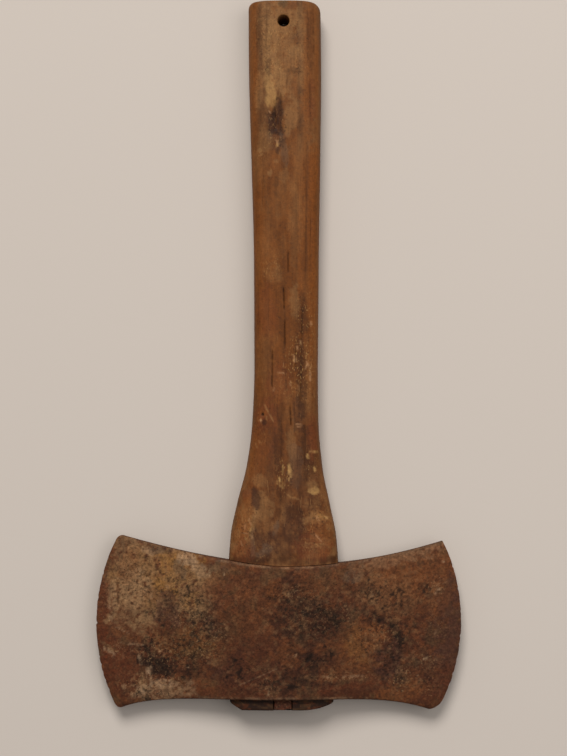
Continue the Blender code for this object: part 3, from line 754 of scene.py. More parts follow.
def tongue_end_y(x):
    """Y of the tongue's broken end."""
    half = EYE_WIDTH / 2 - FIT_CLEARANCE
    left = np.maximum(0.0, (EYE_OFFSET_X - half + TONGUE_LEFT_CHAMFER - x) / TONGUE_LEFT_CHAMFER)
    right = np.maximum(0.0, (x - EYE_OFFSET_X - half + TONGUE_RIGHT_CHAMFER) / TONGUE_RIGHT_CHAMFER)
    return TONGUE_END_Y + TONGUE_CHAMFER_DROP * (left + right ** 2)


def haft_sections():
    """X, Y, Z of every ring, from the tongue's end to the butt."""
    half = EYE_WIDTH / 2 - FIT_CLEARANCE
    rings = []
    for depth in 1 - np.array(TONGUE_STEPS):
        from_end = (1 - depth) * (seat_y(0.0) - TONGUE_END_Y)
        from_round = max(0.0, 1 - from_end / TONGUE_EDGE_EASE)
        inset = TONGUE_EDGE_EASE * (1 - math.sqrt(max(0.0, 1 - from_round ** 2)))
        u, w = oval(half - inset, half - inset, EYE_HEIGHT / 2 - FIT_CLEARANCE - inset, EYE_ROUNDNESS)
        x = EYE_OFFSET_X + u
        rings.append((x, seat_y(x) + depth * (tongue_end_y(x) - seat_y(x)), MIDDLE_Z + w))
    end = BUTT_STEPS[0] / HAFT_LENGTH
    last_shares = 1 - np.array(BUTT_STEPS[1:]) / HAFT_LENGTH
    shares = np.concatenate([np.linspace(0, 1 - end, HAFT_ROWS), last_shares])
    flare, swell = curve_through(FLARE, shares), curve_through(SWELL, shares)
    widths = GRIP_WIDTH + (SHOULDER_WIDTH - GRIP_WIDTH) * flare + (BUTT_WIDTH - GRIP_WIDTH) * swell
    thicknesses = (GRIP_THICKNESS + (SHOULDER_THICKNESS - GRIP_THICKNESS) * flare
                   + (BUTT_THICKNESS - GRIP_THICKNESS) * curve_through(THICKEN, shares))
    centres = HAFT_SWAY * curve_through(SWAY, shares)
    gaps = (1 - shares) * HAFT_LENGTH
    for share, width, thickness, centre, gap in zip(shares, widths, thicknesses, centres, gaps):
        left, right, height = (size / 2 - corner_inset(gap, radius) for size, radius in (
            (width, BUTT_LEFT_ROUND), (width, BUTT_RIGHT_ROUND), (thickness, BUTT_EDGE_EASE)))
        u, w = oval(left, right, height, HAFT_ROUNDNESS)
        x = centre + u
        rings.append((x, seat_y(x) + share * (BUTT_Y - seat_y(x)), MIDDLE_Z + w))
    return np.array(rings).transpose(1, 0, 2)


# Marks in the wood: grain splits, dents and bruises. From X, Y to X, Y, half width, depth
CRACKS = (
    (3.4, 271, 3.0, 255, 0.45, 0.9), (-0.2, 245, 0.2, 228, 0.45, 1.0), (0.8, 222, 1.2, 199, 0.5, 0.9),
    (-8.0, 201, -8.3, 172, 0.5, 1.0), (8.3, 201, 8.5, 185, 0.4, 0.8), (5.0, 161, 5.1, 144, 0.5, 1.0),
    (17.6, 352, 16.0, 302, 0.45, 0.3), (16.0, 300, 15.6, 252, 0.5, 0.35), (13.5, 236, 12.0, 152, 0.45, 0.7),
    (-2.0, 150, -1.6, 118, 0.6, 0.6), (15.0, 148, 15.8, 112, 0.5, 0.6), (-1.0, 118, -2.0, 78, 0.5, 0.5),
    (-11.5, 250, -11.0, 214, 0.3, 0.4), (6.0, 300, 5.4, 276, 0.3, 0.4), (-15.0, 330, -15.4, 300, 0.3, 0.4),
    (-5.5, 292, -5.8, 262, 0.3, 0.4), (10.8, 330, 10.4, 306, 0.3, 0.4), (-18.5, 250, -18.0, 196, 0.35, 0.5),
    (19.5, 300, 19.0, 250, 0.35, 0.5), (-9.0, 430, -8.6, 402, 0.3, 0.4), (12.0, 420, 11.4, 386, 0.3, 0.4),
    (-2.0, 384, -4.6, 356, 0.9, 1.0), (-6.6, 374, -6.0, 357, 0.8, 1.2), (-8.0, 370, -7.2, 362, 1.2, 0.9),
)
UNDER_CRACKS = (
    (-10.0, 330, -9.4, 250, 0.5, 0.9), (6.0, 260, 6.6, 180, 0.5, 0.9), (-3.0, 180, -2.4, 112, 0.5, 0.8),
    (12.0, 420, 11.0, 350, 0.4, 0.7), (-16.0, 230, -15.0, 160, 0.4, 0.6), (1.0, 400, 0.4, 350, 0.4, 0.6),
    (18.0, 340, 17.4, 290, 0.4, 0.6), (-6.0, 440, -6.4, 400, 0.4, 0.6),
)
DENTS = (
    (-14.7, 154, 0.8, 0.8, 1.6), (-3.0, 155, 4, 10, 0.35), (21.5, 100, 5, 3.6, 0.5), (-19, 92, 2.5, 6, 0.4),
    (7, 77, 7, 14, 0.3), (-16, 62, 8, 9, 0.3), (24, 80, 8, 4, 0.25), (-6, 366, 4.5, 11, 0.8),
    (-5, 356, 8, 4, 0.6), (-5, 349, 2, 5, 0.6), (10, 428, 6, 5, 0.25), (-12, 415, 5, 5, 0.25),
    (17, 124, 2, 4, 0.3), (22, 112, 2, 4, 0.3), (4, 113, 2, 6, 0.3), (-2, 108, 2, 7, 0.25),
    (-20, 343, 2, 3, 0.3), (19, 378, 3, 7, 0.3), (-21, 395, 3, 9, 0.3),
)


def split_wave(x, y):
    """How far a split in the wood strays from its straight line."""
    return 0.35 * noise(x * 0.2, y, 0 * x, 14.0, 504)


def wood_relief(x, y, z, upper):
    """How far worn, split and dented wood lies inside the shaved form; never negative."""
    side = np.where(upper, 1, 2)
    ripple = 0.16 * (1 + noise(x, y * 0.16, z + 40 * side, 9.0, 501))
    grain = 0.07 * (1 + noise(x, y * 0.035, z + 40 * side, 1.5, 502))
    fine = 0.03 * (1 + noise(x, y * 0.3, z + 40 * side, 1.1, 503))
    depth = ripple + grain + fine
    wave = split_wave(x, y)
    for marks, here in ((CRACKS, upper), (UNDER_CRACKS, ~upper)):
        for x0, y0, x1, y1, width, deep in marks:
            depth = depth + 0.7 * deep * stroke(x + wave, y, x0, y0, x1, y1, width, 0.6) * here
    for cx, cy, half_width, half_height, deep in DENTS:
        depth = depth + deep * blob(x + wave, y, cx, cy, half_width, half_height, 0, 0.6) * upper
    return depth


# Colours of the wood, as they look on screen
WOOD_BUTT = linear(103, 66, 37)
WOOD_MIDDLE = linear(107, 61, 25)
WOOD_LOW = linear(97, 57, 29)
WOOD_TAN = linear(142, 102, 62)
WOOD_PALE = linear(182, 140, 84)
WOOD_ORANGE = linear(122, 68, 27)
WOOD_RED = linear(106, 54, 28)
WOOD_DARK = linear(62, 34, 15)
WOOD_PLUM = linear(70, 42, 27)
WOOD_FLECK = linear(176, 130, 90)
WOOD_GREY = linear(104, 82, 63)
WOOD_SCAR = linear(42, 24, 15)
WOOD_GREEN = linear(66, 57, 38)
# near black of the tongue's end: partly dark torn wood, partly painted shade cast by the head
WOOD_TORN_END_AND_SHADE = linear(31, 19, 14)

# Patches on the haft's upper side: tint, centre X, Y, half width, half height, turn if any, strength
HAFT_PATCHES = (
    (WOOD_TAN, -3, 416, 13, 36, 0.4), (WOOD_TAN, -2, 438, 13, 12, 0.25), (WOOD_TAN, -8, 396, 6, 14, 0.5),
    (WOOD_PALE, -9, 386, 4.2, 13, 8, 0.36), (WOOD_TAN, -1, 392, 3, 10, 0.4),
    (WOOD_ORANGE, -22, 400, 3.4, 52, 0.5), (WOOD_TAN, -9, 428, 4, 14, 0.3),
    (WOOD_ORANGE, 19, 402, 7, 50, 0.45), (WOOD_RED, 21, 371, 3.5, 9, 0.35), (WOOD_RED, 21, 390, 3, 5, 0.3),
    (WOOD_GREEN, 0, 447.5, 3.6, 4, 0.55), (WOOD_TAN, 8, 414, 5, 5, 0.4), (WOOD_ORANGE, -19, 392, 3, 6, 0.4),
    (WOOD_TAN, -9, 424, 6, 13, 0.4), (WOOD_TAN, -9, 404, 6, 10, 0.45), (WOOD_DARK, 12, 426, 6, 6, 0.2),
    (WOOD_DARK, 8, 399, 6, 2, 8, 0.35), (WOOD_DARK, -11, 402, 2.2, 6, 0.5),
    (WOOD_DARK, -17.5, 430, 1.6, 18, 0.4), (WOOD_DARK, 19.5, 425, 2.6, 22, 0.35),
    (WOOD_PLUM, -5.6, 366, 4.8, 13, -10, 0.8), (WOOD_SCAR, -8.2, 367, 2.4, 6.5, -8, 0.45),
    (WOOD_PLUM, -5, 352, 6, 9, 0.5), (WOOD_SCAR, -7.5, 356.5, 4.6, 3, 0.5),
    (WOOD_SCAR, -2.4, 357, 2.4, 4, 0.45), (WOOD_SCAR, -4, 343, 1.8, 2.8, 0.5),
    (WOOD_PALE, -4.6, 347, 1.3, 1.6, 0.6), (WOOD_GREY, 0, 343, 3.0, 11, 9, 0.35),
    (WOOD_DARK, -1, 348, 3, 5, 0.4), (WOOD_ORANGE, 21.5, 330, 4, 22, 0.6),
    (WOOD_DARK, -5.5, 319, 1.8, 7, 0.3), (WOOD_DARK, -5.5, 283, 2.2, 14, 14, 0.22),
    (WOOD_DARK, -9, 302, 6, 26, 0.18), (WOOD_TAN, -17.5, 343, 1.7, 1.7, 0.5),
    (WOOD_TAN, -17, 339, 2.6, 1.0, 0.5), (WOOD_TAN, -10.5, 326, 2.2, 2.4, 0.5),
    (WOOD_TAN, -5, 334, 1.9, 1.9, 0.4), (WOOD_TAN, 1, 325, 4, 5, 0.25), (WOOD_TAN, 8, 290, 5, 30, 0.15),
    (WOOD_TAN, 8, 236, 4, 12, 0.35), (WOOD_TAN, -8, 255, 8, 6, -30, 0.25),
    (WOOD_ORANGE, -16, 250, 6, 60, 0.35), (WOOD_ORANGE, 20, 260, 4, 70, 0.3),
    (WOOD_RED, -12, 225, 8, 20, 0.35), (WOOD_DARK, -3, 155, 4, 11, 0.5),
    (WOOD_DARK, -13.5, 147, 2.4, 3.6, 0.6), (WOOD_DARK, -21, 200, 2.5, 60, 0.25),
    (WOOD_RED, -12, 144, 8, 22, 0.5), (WOOD_DARK, 13, 176, 4, 26, 0.45), (WOOD_DARK, -13, 194, 5, 16, 0.3),
    (WOOD_DARK, 14, 226, 3.4, 16, 0.5), (WOOD_DARK, 15, 262, 2.0, 18, 0.2),
    (WOOD_RED, -3, 176, 8, 16, 0.35), (WOOD_DARK, 14, 158, 4, 9, 0.3), (WOOD_PLUM, 11, 154, 4.4, 12, 0.4),
    (WOOD_PLUM, -3, 132, 4, 15, 0.35), (WOOD_ORANGE, -18, 124, 7, 28, -8, 0.55),
    (WOOD_RED, 20, 137, 4, 18, 0.6), (WOOD_TAN, 6, 132, 3.6, 16, 0.3), (WOOD_DARK, 15.5, 130, 3, 22, 0.45),
    (WOOD_DARK, -3, 124, 3, 26, 0.45), (WOOD_DARK, 18, 115, 4, 7, 0.6), (WOOD_DARK, 12, 104, 5, 8, 0.2),
    (WOOD_GREY, 8, 118, 5, 16, 0.25), (WOOD_DARK, -3.6, 88, 1.6, 20, 0.3),
    (WOOD_PALE, 21.4, 99.5, 4.2, 2.6, 12, 0.58), (WOOD_TAN, 20.5, 103, 4.4, 3.6, 0.45),
    (WOOD_PLUM, 9, 113, 5, 12, 0.35), (WOOD_DARK, -20.4, 94, 1.9, 7, 4, 0.65),
    (WOOD_DARK, -23, 87, 2.2, 4, 0.5), (WOOD_RED, -26, 97, 4, 3, 30, 0.5), (WOOD_PLUM, 7, 76, 8, 15, 0.55),
    (WOOD_DARK, 9, 85, 5, 5, 0.5), (WOOD_DARK, 7, 66, 6, 6, 0.45), (WOOD_PLUM, -14, 62, 11, 11, 0.65),
    (WOOD_GREY, -12, 60, 3.4, 4, 0.45), (WOOD_GREY, -17, 56, 4, 3, 0.35),
    (WOOD_GREY, -22.5, 62, 1.8, 8, 0.45), (WOOD_GREY, -5.5, 73, 2, 7, -12, 0.45),
    (WOOD_TAN, 24, 80, 9, 4, 0.55), (WOOD_PALE, 25, 80.5, 4, 1.6, 8, 0.4), (WOOD_TAN, -15, 88, 7, 9, 0.4),
    (WOOD_TAN, -24, 80, 6, 8, 0.4), (WOOD_TAN, -28, 70, 6, 9, 0.4), (WOOD_ORANGE, -27, 82, 5, 14, -12, 0.5),
    (WOOD_ORANGE, -31, 66, 6, 12, -8, 0.4), (WOOD_TAN, 24, 65, 3.6, 1.6, -25, 0.55),
    (WOOD_TAN, 36, 54, 2.8, 1.0, 15, 0.6), (WOOD_ORANGE, 27, 70, 9, 16, 12, 0.4),
    # the dark bands at Y 50 to 54, on the next line and the two after it, are painted shade in the seam where
    # the haft meets the head
    (WOOD_DARK, 24, 88, 3, 3, 0.3), (WOOD_DARK, 14, 60, 8, 5, 0.25), (WOOD_DARK, -25, 51, 17, 3, 0.75),
    (WOOD_DARK, 34, 51.5, 7, 3, 8, 0.75), (WOOD_TAN, -35.5, 61, 3, 4, 0.5), (WOOD_DARK, -8, 53, 8, 4, 0.4),
    (WOOD_DARK, 4, 50, 26, 3.4, 0.5), (WOOD_PLUM, 4, 62, 16, 9, 0.3), (WOOD_RED, -13.8, 146.5, 3, 5, 0.6),
    (WOOD_PLUM, -19.6, 93.5, 3.0, 6.4, 4, 0.75), (WOOD_PLUM, -12, 120, 9, 14, 0.2),
    (WOOD_RED, 20, 60, 13, 10, 0.45), (WOOD_RED, -29, 58, 8, 8, 0.4), (WOOD_TAN, 5, 366, 5, 12, -8, 0.45),
    (WOOD_TAN, -18, 386, 3, 14, 0.35), (WOOD_TAN, -13, 350, 5.4, 9, 0.3),
    (WOOD_TAN, 12, 434, 4.6, 14, 0.35), (WOOD_TAN, -17, 107, 6, 5, 0.35), (WOOD_DARK, -12, 140, 6, 9, 0.35),
)
# Small marks with a clear edge: tint, centre X, Y, half width, half height, strength
HAFT_SPOTS = (
    (WOOD_SCAR, -14.7, 154, 0.95, 1.0, 1.0), (WOOD_SCAR, -13.6, 148.4, 1.9, 2.2, 0.65),
    (WOOD_FLECK, -16.1, 149.8, 0.8, 1.0, 0.85), (WOOD_TAN, -12.0, 151.5, 0.7, 1.6, 0.4),
)
# Thin pale flecks and dark streaks: tint, from X, Y to X, Y, half width, strength
HAFT_STREAKS = (
    (WOOD_FLECK, 6.8, 196.5, 8.6, 190.5, 1.2, 0.8), (WOOD_FLECK, -5, 183.6, 1, 183.3, 0.7, 0.45),
    (WOOD_FLECK, 12, 207, 12.2, 203, 0.7, 0.5), (WOOD_FLECK, 9.5, 203, 9.7, 199, 0.7, 0.55),
    (WOOD_FLECK, 16, 192, 19.2, 186, 0.7, 0.6), (WOOD_FLECK, 15, 186, 17, 190, 0.6, 0.5),
    (WOOD_FLECK, 19.5, 221, 19.6, 217, 0.8, 0.5), (WOOD_FLECK, 19, 185, 19.1, 177, 0.7, 0.5),
    (WOOD_FLECK, 5, 178, 5.1, 174, 0.8, 0.45), (WOOD_FLECK, 10.5, 175, 10.6, 171, 0.8, 0.45),
    (WOOD_FLECK, -7, 173.5, -6.9, 170.5, 0.8, 0.45), (WOOD_TAN, -14.5, 163, -7, 148, 0.6, 0.55),
    (WOOD_PALE, 3.6, 120, 4.2, 106, 0.9, 0.65), (WOOD_PALE, 5.2, 116, 5.4, 108, 0.6, 0.4),
    (WOOD_PALE, -0.6, 119, -0.4, 104, 0.6, 0.4), (WOOD_PALE, -2.9, 111, -2.3, 102, 0.8, 0.65),
    (WOOD_PALE, -4.6, 108, -4.4, 104, 0.6, 0.4), (WOOD_PALE, -1.2, 106, -1.0, 101, 0.6, 0.45),
    (WOOD_PALE, 17.7, 127.8, 25, 127.4, 0.8, 0.5), (WOOD_PALE, 16.5, 126, 17.6, 122, 0.9, 0.7),
    (WOOD_PALE, 21.4, 117.5, 22.6, 113, 0.9, 0.7), (WOOD_TAN, 2, 97.5, 5, 95, 0.7, 0.6),
    (WOOD_TAN, 5, 95, 11, 94, 0.6, 0.5), (WOOD_TAN, -18, 136, -15.5, 132, 0.7, 0.55),
    # the dark streak at Y 52 on the next line is a painted shadow line along the haft's seat on the head
    (WOOD_TAN, -20, 134, -18.5, 130, 0.6, 0.4), (WOOD_DARK, 0, 52, 6.5, 52.4, 0.7, 0.7),
    (WOOD_DARK, 17.4, 353, 15.6, 250, 0.7, 0.3), (WOOD_DARK, 14.5, 340, 14.2, 300, 0.8, 0.3),
    (WOOD_DARK, 13.5, 237, 12.0, 150, 1.2, 0.35), (WOOD_DARK, 3.4, 272, 3.0, 254, 0.55, 0.5),
    (WOOD_SCAR, -0.2, 246, 0.2, 227, 0.4, 0.7), (WOOD_DARK, 0.4, 228, 1.2, 198, 0.5, 0.55),
    (WOOD_DARK, -8, 202, -8.3, 171, 0.5, 0.65), (WOOD_DARK, 8.3, 202, 8.5, 184, 0.5, 0.6),
    (WOOD_DARK, 5, 162, 5.1, 143, 0.55, 0.75), (WOOD_DARK, 14.6, 150, 14.2, 200, 1.2, 0.25),
    (WOOD_DARK, 1.6, 200, 2.2, 166, 0.7, 0.4), (WOOD_DARK, 10.6, 200, 10.9, 150, 0.7, 0.4),
    (WOOD_DARK, -2.6, 226, -3.0, 206, 0.6, 0.35), (WOOD_DARK, -3.0, 388, -6.4, 374, 0.7, 0.7),
    (WOOD_SCAR, -1.0, 372, -2.4, 360, 0.6, 0.4), (WOOD_TAN, -10, 398, -9, 378, 1.6, 0.4),
    (WOOD_FLECK, -10.4, 371, -8.8, 368.6, 0.5, 0.5), (WOOD_FLECK, -9.6, 366, -8.2, 364.8, 0.5, 0.4),
    (WOOD_FLECK, -4.6, 350.6, -3.6, 346.4, 0.7, 0.5), (WOOD_TAN, 14, 420, 13, 380, 2.0, 0.3),
    (WOOD_DARK, -12, 446, -12.5, 412, 0.6, 0.4), (WOOD_DARK, -15.5, 440, -16, 400, 0.6, 0.4),
    (WOOD_DARK, 17, 446, 17.5, 404, 0.7, 0.4), (WOOD_DARK, 21.5, 440, 22, 396, 0.6, 0.35),
    (WOOD_TAN, 1.5, 430, 1, 400, 0.5, 0.35), (WOOD_DARK, 19, 396, 18.5, 350, 0.8, 0.4),
    (WOOD_DARK, 3.5, 398, 2, 386, 0.5, 0.45), (WOOD_DARK, 6, 398, 14, 399, 0.6, 0.5),
    (WOOD_FLECK, 7.5, 147, 14, 146.6, 0.5, 0.5), (WOOD_FLECK, 9, 145.4, 13, 145, 0.4, 0.4),
    (WOOD_DARK, -4.6, 170, -4.2, 140, 0.5, 0.45), (WOOD_DARK, -1.6, 160, -1.2, 128, 0.45, 0.45),
    (WOOD_DARK, 2.4, 150, 2.6, 124, 0.45, 0.4), (WOOD_DARK, 7.6, 164, 7.9, 136, 0.5, 0.5),
    (WOOD_DARK, 12.6, 168, 12.8, 140, 0.5, 0.5), (WOOD_DARK, -6.4, 136, -6.0, 112, 0.5, 0.4),
    (WOOD_DARK, 9.6, 132, 9.9, 104, 0.45, 0.4), (WOOD_FLECK, 23.4, 82, 25, 78.4, 0.8, 0.55),
    (WOOD_FLECK, 30.2, 81.2, 31.8, 80.6, 0.8, 0.5), (WOOD_FLECK, 22, 69.4, 27, 64, 0.5, 0.45),
    (WOOD_TAN, 12, 63.4, 31, 61.8, 0.4, 0.5), (WOOD_TAN, 14, 60.4, 28, 59.8, 0.4, 0.4),
    (WOOD_FLECK, -22, 84, -20.5, 78.6, 0.4, 0.45), (WOOD_FLECK, -19.6, 82.6, -20.6, 77, 0.4, 0.4),
    (WOOD_FLECK, -24.6, 80.6, -22.6, 75.4, 0.45, 0.45), (WOOD_FLECK, -26.6, 77, -27.6, 71.6, 0.45, 0.4),
    (WOOD_FLECK, -21, 73.6, -22.2, 66, 0.45, 0.4), (WOOD_FLECK, -28.6, 70, -25.2, 69.6, 0.4, 0.4),
    (WOOD_FLECK, -30.4, 64.6, -29, 60.6, 0.45, 0.4), (WOOD_SCAR, -24.6, 72, -23.4, 66, 0.5, 0.4),
    (WOOD_SCAR, -29.6, 63.4, -26.2, 59.6, 0.5, 0.4), (WOOD_SCAR, -20.2, 76, -19.4, 70.6, 0.5, 0.35),
    (WOOD_TAN, 5, 88, 7, 96, 0.5, 0.3), (WOOD_TAN, 22, 62, 28, 60, 0.6, 0.5),
    (WOOD_TAN, 12, 62, 24, 61, 0.5, 0.3), (WOOD_PALE, 29, 81, 32, 80.5, 0.7, 0.5),
    (WOOD_PALE, -20, 80, -24, 82, 0.5, 0.35), (WOOD_PALE, -23, 74, -24, 68, 0.6, 0.35),
)
# Dark specks, pale specks and fine scratches: centre X, Y, half width, half height, strength
WOOD_SPECKS = (
    (-14, 414, 5, 14, 0.7), (-11, 401, 4, 5, 0.9), (11, 426, 9, 10, 0.8), (11, 400, 8, 6, 0.9),
    (-16, 430, 5, 22, 0.6), (-8, 424, 8, 10, 0.3), (-5, 362, 9, 14, 1.0), (2, 345, 7, 10, 0.6),
    (18, 375, 7, 20, 0.5), (13, 190, 8, 50, 0.7), (13, 232, 4, 14, 0.8), (-20, 90, 6, 12, 0.8),
    (-28, 66, 8, 12, 0.9), (7, 78, 12, 20, 0.7), (26, 72, 12, 18, 0.8), (-14, 60, 12, 12, 0.7),
    (0, 108, 10, 16, 0.6), (16, 128, 7, 26, 0.6), (-20, 240, 4, 60, 0.4), (20, 300, 4, 60, 0.4),
    (0, 430, 24, 22, 0.4),
)
WOOD_DUST = (
    (-6, 364, 8, 10, 0.4), (-6, 352, 7, 6, 0.4), (12, 190, 10, 20, 0.85), (14, 224, 6, 14, 0.6),
    (24, 78, 12, 12, 0.5), (-27, 72, 10, 14, 0.4), (22, 62, 12, 8, 0.35), (0, 110, 6, 12, 0.7),
    (-6, 430, 14, 16, 0.5), (-8, 406, 10, 12, 0.6), (-16, 340, 6, 8, 0.4), (-18, 140, 6, 18, 0.25),
    (20, 118, 6, 14, 0.4), (4, 176, 10, 12, 0.5), (-16, 58, 10, 10, 0.3), (10, 410, 10, 12, 0.4),
    (30, 92, 6, 12, 0.4), (19, 200, 4, 40, 0.5), (-9, 260, 8, 10, 0.4),
)
WOOD_SCRATCHED = (
    (8, 180, 16, 36, 1.0), (-12, 150, 10, 20, 0.7), (0, 96, 30, 30, 0.8), (20, 66, 18, 16, 1.0),
    (-26, 72, 12, 18, 0.9), (0, 340, 22, 20, 0.4), (0, 420, 22, 30, 0.5), (8, 232, 12, 20, 0.5),
    (0, 280, 22, 30, 0.2),
)
# Rings of the end grain at the butt: turns of colour per millimetre, in radians, and their centre
END_RING_PITCH, END_RING_X, END_RING_Z = 2.6, 9.0, -24.0


def end_colours(colour, x, y, z, cloud, mottle, grit):
    """Paints the end grain of the butt, and the torn end of the tongue near black, partly as painted shade.
    """
    end = smooth((y - BUTT_Y + 1.2) / 1.0)
    rings = 0.5 + 0.5 * np.sin(END_RING_PITCH * np.hypot(x - END_RING_X, z - END_RING_Z) + 1.6 * cloud)
    tongue = smooth((CROWN_Y + 6 - y) / 3)
    fibres = layered(x * 0.3, y, z, 2.0, 609)
    torn = layered(x * 0.22, y * 1.3, z, 1.8, 611)
    return coated(colour, (
        (WOOD_DARK, 0.45 * end),
        (WOOD_TAN, 0.4 * end * smooth(rings - 0.2 + 0.4 * grit)),
        (WOOD_SCAR, 0.35 * end * smooth(0.5 * cloud + 0.6 * mottle)),
        # painted shade: the tongue past the crown goes near black, partly dark torn wood, partly the head's
        # shadow on it
        (WOOD_TORN_END_AND_SHADE, 0.93 * tongue),
        (WOOD_RED, 0.35 * tongue * smooth((fibres - 0.2) * 2)),
        (WOOD_TAN, 0.13 * tongue * smooth((torn - 0.15) * 3))))


def wood_colour(points):
    """Colour of every point of the haft, and where its dark specks, pale specks and scratches lie."""
    x, y, z = points.T
    upper = (z > MIDDLE_Z + 1.5).astype(float)
    colour = np.tile(WOOD_MIDDLE, (len(x), 1))
    colour = coated(colour, (
        (WOOD_BUTT, smooth((y - 310) / 70)),
        (WOOD_LOW, smooth((190 - y) / 90))))
    long_grain = noise(x, y * 0.03, z, 4.0, 601)
    grain = noise(x, y * 0.06, z, 1.8, 602)
    cloud = layered(x, y * 0.4, z, 11.0, 603)
    mottle = layered(x, y * 0.7, z, 4.0, 610)
    grit = layered(x, y * 0.8, z, 2.0, 604, 2)
    colour = coated(colour, (
        (WOOD_DARK, 0.36 * smooth(0.3 + 0.8 * cloud)),
        (WOOD_TAN, 0.24 * smooth(0.3 - 1.0 * cloud)),
        (WOOD_ORANGE, 0.35 * smooth(0.4 + 1.1 * long_grain)),
        (WOOD_DARK, 0.30 * smooth(0.2 + 1.0 * grain) * smooth(0.6 - long_grain))))
    shoulder = smooth((135 - y) / 60)
    colour = coated(colour, (
        (WOOD_DARK, 0.4 * shoulder * smooth(0.25 + 1.3 * mottle)),
        (WOOD_TAN, 0.3 * shoulder * smooth(0.15 - 1.3 * mottle))))
    # painted highlight: both sides of the haft are lightened towards tan, standing in for light reflected
    # onto its rounded sides
    half = 0.5 * np.interp(y, (50, 100, 150, 230, 330, 450), (78, 58, 46, 46, 50, 52))
    edge = smooth((np.abs(x - 1.5) / half - 0.84) / 0.16)
    colour = tinted(colour, WOOD_TAN, 0.28 * edge * smooth(0.7 + cloud))
    warp_x = 1.3 * layered(x, y * 0.5, z, 6.0, 605)
    warp_y = 2.4 * layered(x, y * 0.5, z, 7.0, 606)
    fray = 0.6 * mottle + 0.7 * grit + 0.3 * grain
    colour = patched(colour, x + warp_x, y + warp_y, HAFT_PATCHES, upper, fray, 0.55)
    wave = split_wave(x, y)
    for x0, y0, x1, y1, width, deep in CRACKS:
        line = stroke(x + wave, y, x0, y0, x1, y1, 0.85 * width, 0.4)
        colour = tinted(colour, WOOD_SCAR, upper * 0.55 * deep * line * smooth(0.9 + 0.8 * grit))
    for tint, cx, cy, half_width, half_height, strength in HAFT_SPOTS:
        spot = blob(x, y, cx, cy, half_width, half_height, soft=0.4)
        colour = tinted(colour, tint, upper * strength * spot)
    sway = 0.4 * noise(x * 0.2, y, 0 * x, 10.0, 607)
    for tint, x0, y0, x1, y1, width, strength in HAFT_STREAKS:
        line = stroke(x + sway, y, x0, y0, x1, y1, width, 0.8)
        colour = tinted(colour, tint, upper * strength * line * np.clip(0.8 + 0.8 * grit, 0, 1.2))
    colour = tinted(colour, WOOD_DARK, 0.3 * (1 - upper) * smooth(0.5 + cloud + 0.5 * grit))
    colour = end_colours(colour, x, y, z, cloud, mottle, grit)
    specks, dust, scratches = (zones(x + warp_x, y + warp_y, places) * upper
                               for places in (WOOD_SPECKS, WOOD_DUST, WOOD_SCRATCHED))
    wear = np.stack([np.maximum(specks, 0.25 + 0.25 * cloud), dust, np.maximum(scratches, 0.15)], axis=1)
    return colour, wear


def hole_border(x, y):
    """Ring and point numbers of the grid square that becomes the hanging hole's rim."""
    half = HOLE_RADIUS * HOLE_SQUARE_SHARE
    row = int(np.argmin(np.abs(y[:, HAFT_POINTS // 4] - HOLE_Y)))
    low = int(np.argmin(np.abs(y[:, HAFT_POINTS // 4] - HOLE_Y + half)))
    high = int(np.argmin(np.abs(y[:, HAFT_POINTS // 4] - HOLE_Y - half)))
    top = x[row, :HAFT_POINTS // 2]
    first = int(np.argmin(np.abs(top - HOLE_X - half)))
    last = int(np.argmin(np.abs(top - HOLE_X + half)))
    return low, high, first, last


def round_the_hole(x, y, border):
    """Draws the grid round the hanging hole into circles, on the top and the underside."""
    low, high, first, last = border
    rim = HOLE_RADIUS + HOLE_EASE
    for flip in (False, True):
        points = np.arange(HAFT_POINTS // 2 + 1)
        target = (-points) % HAFT_POINTS if flip else points
        u = -(points - (first + last) / 2)[None, :] / ((last - first) / 2)
        v = (np.arange(len(x)) - (low + high) / 2)[:, None] / ((high - low) / 2)
        ring, span = np.maximum(np.abs(u), np.abs(v)), np.maximum(np.hypot(u, v), 1e-6)
        pull = smooth((HOLE_DRAW_REACH - ring) / (HOLE_DRAW_REACH - 1))
        x[:, target] += pull * (HOLE_X + rim * ring * u / span - x[:, target])
        y[:, target] += pull * (HOLE_Y + rim * ring * v / span - y[:, target])


def slot_floor(y):
    """Z of the tongue under the iron wedge."""
    return (wedge_high[2] - WEDGE_CLEARANCE - WEDGE_TIP
            - (WEDGE_HEAD - WEDGE_TIP) * (wedge_high[1] - y) / (wedge_high[1] - wedge_low[1]))


def wooden_surface():
    """X, Y, Z of the haft's rings with all wear, and the border of the hanging hole."""
    x, y, z = haft_sections()
    border = hole_border(x, y)
    round_the_hole(x, y, border)
    tangent_x, tangent_z = (np.roll(v, -1, 1) - np.roll(v, 1, 1) for v in (x, z))
    length = np.hypot(tangent_x, tangent_z)
    depth = wood_relief(x.ravel(), y.ravel(), z.ravel(), (z > MIDDLE_Z).ravel()).reshape(x.shape)
    x, z = x - depth * tangent_z / length, z + depth * tangent_x / length
    z = np.maximum(z, 0.0)
    slot = np.abs(x - WEDGE_X) < WEDGE_HALF_WIDTH + WEDGE_CLEARANCE
    slot = slot & (y < wedge_high[1] + WEDGE_CLEARANCE) & (z > MIDDLE_Z)
    return x, y, np.where(slot, np.minimum(z, slot_floor(y)), z), border


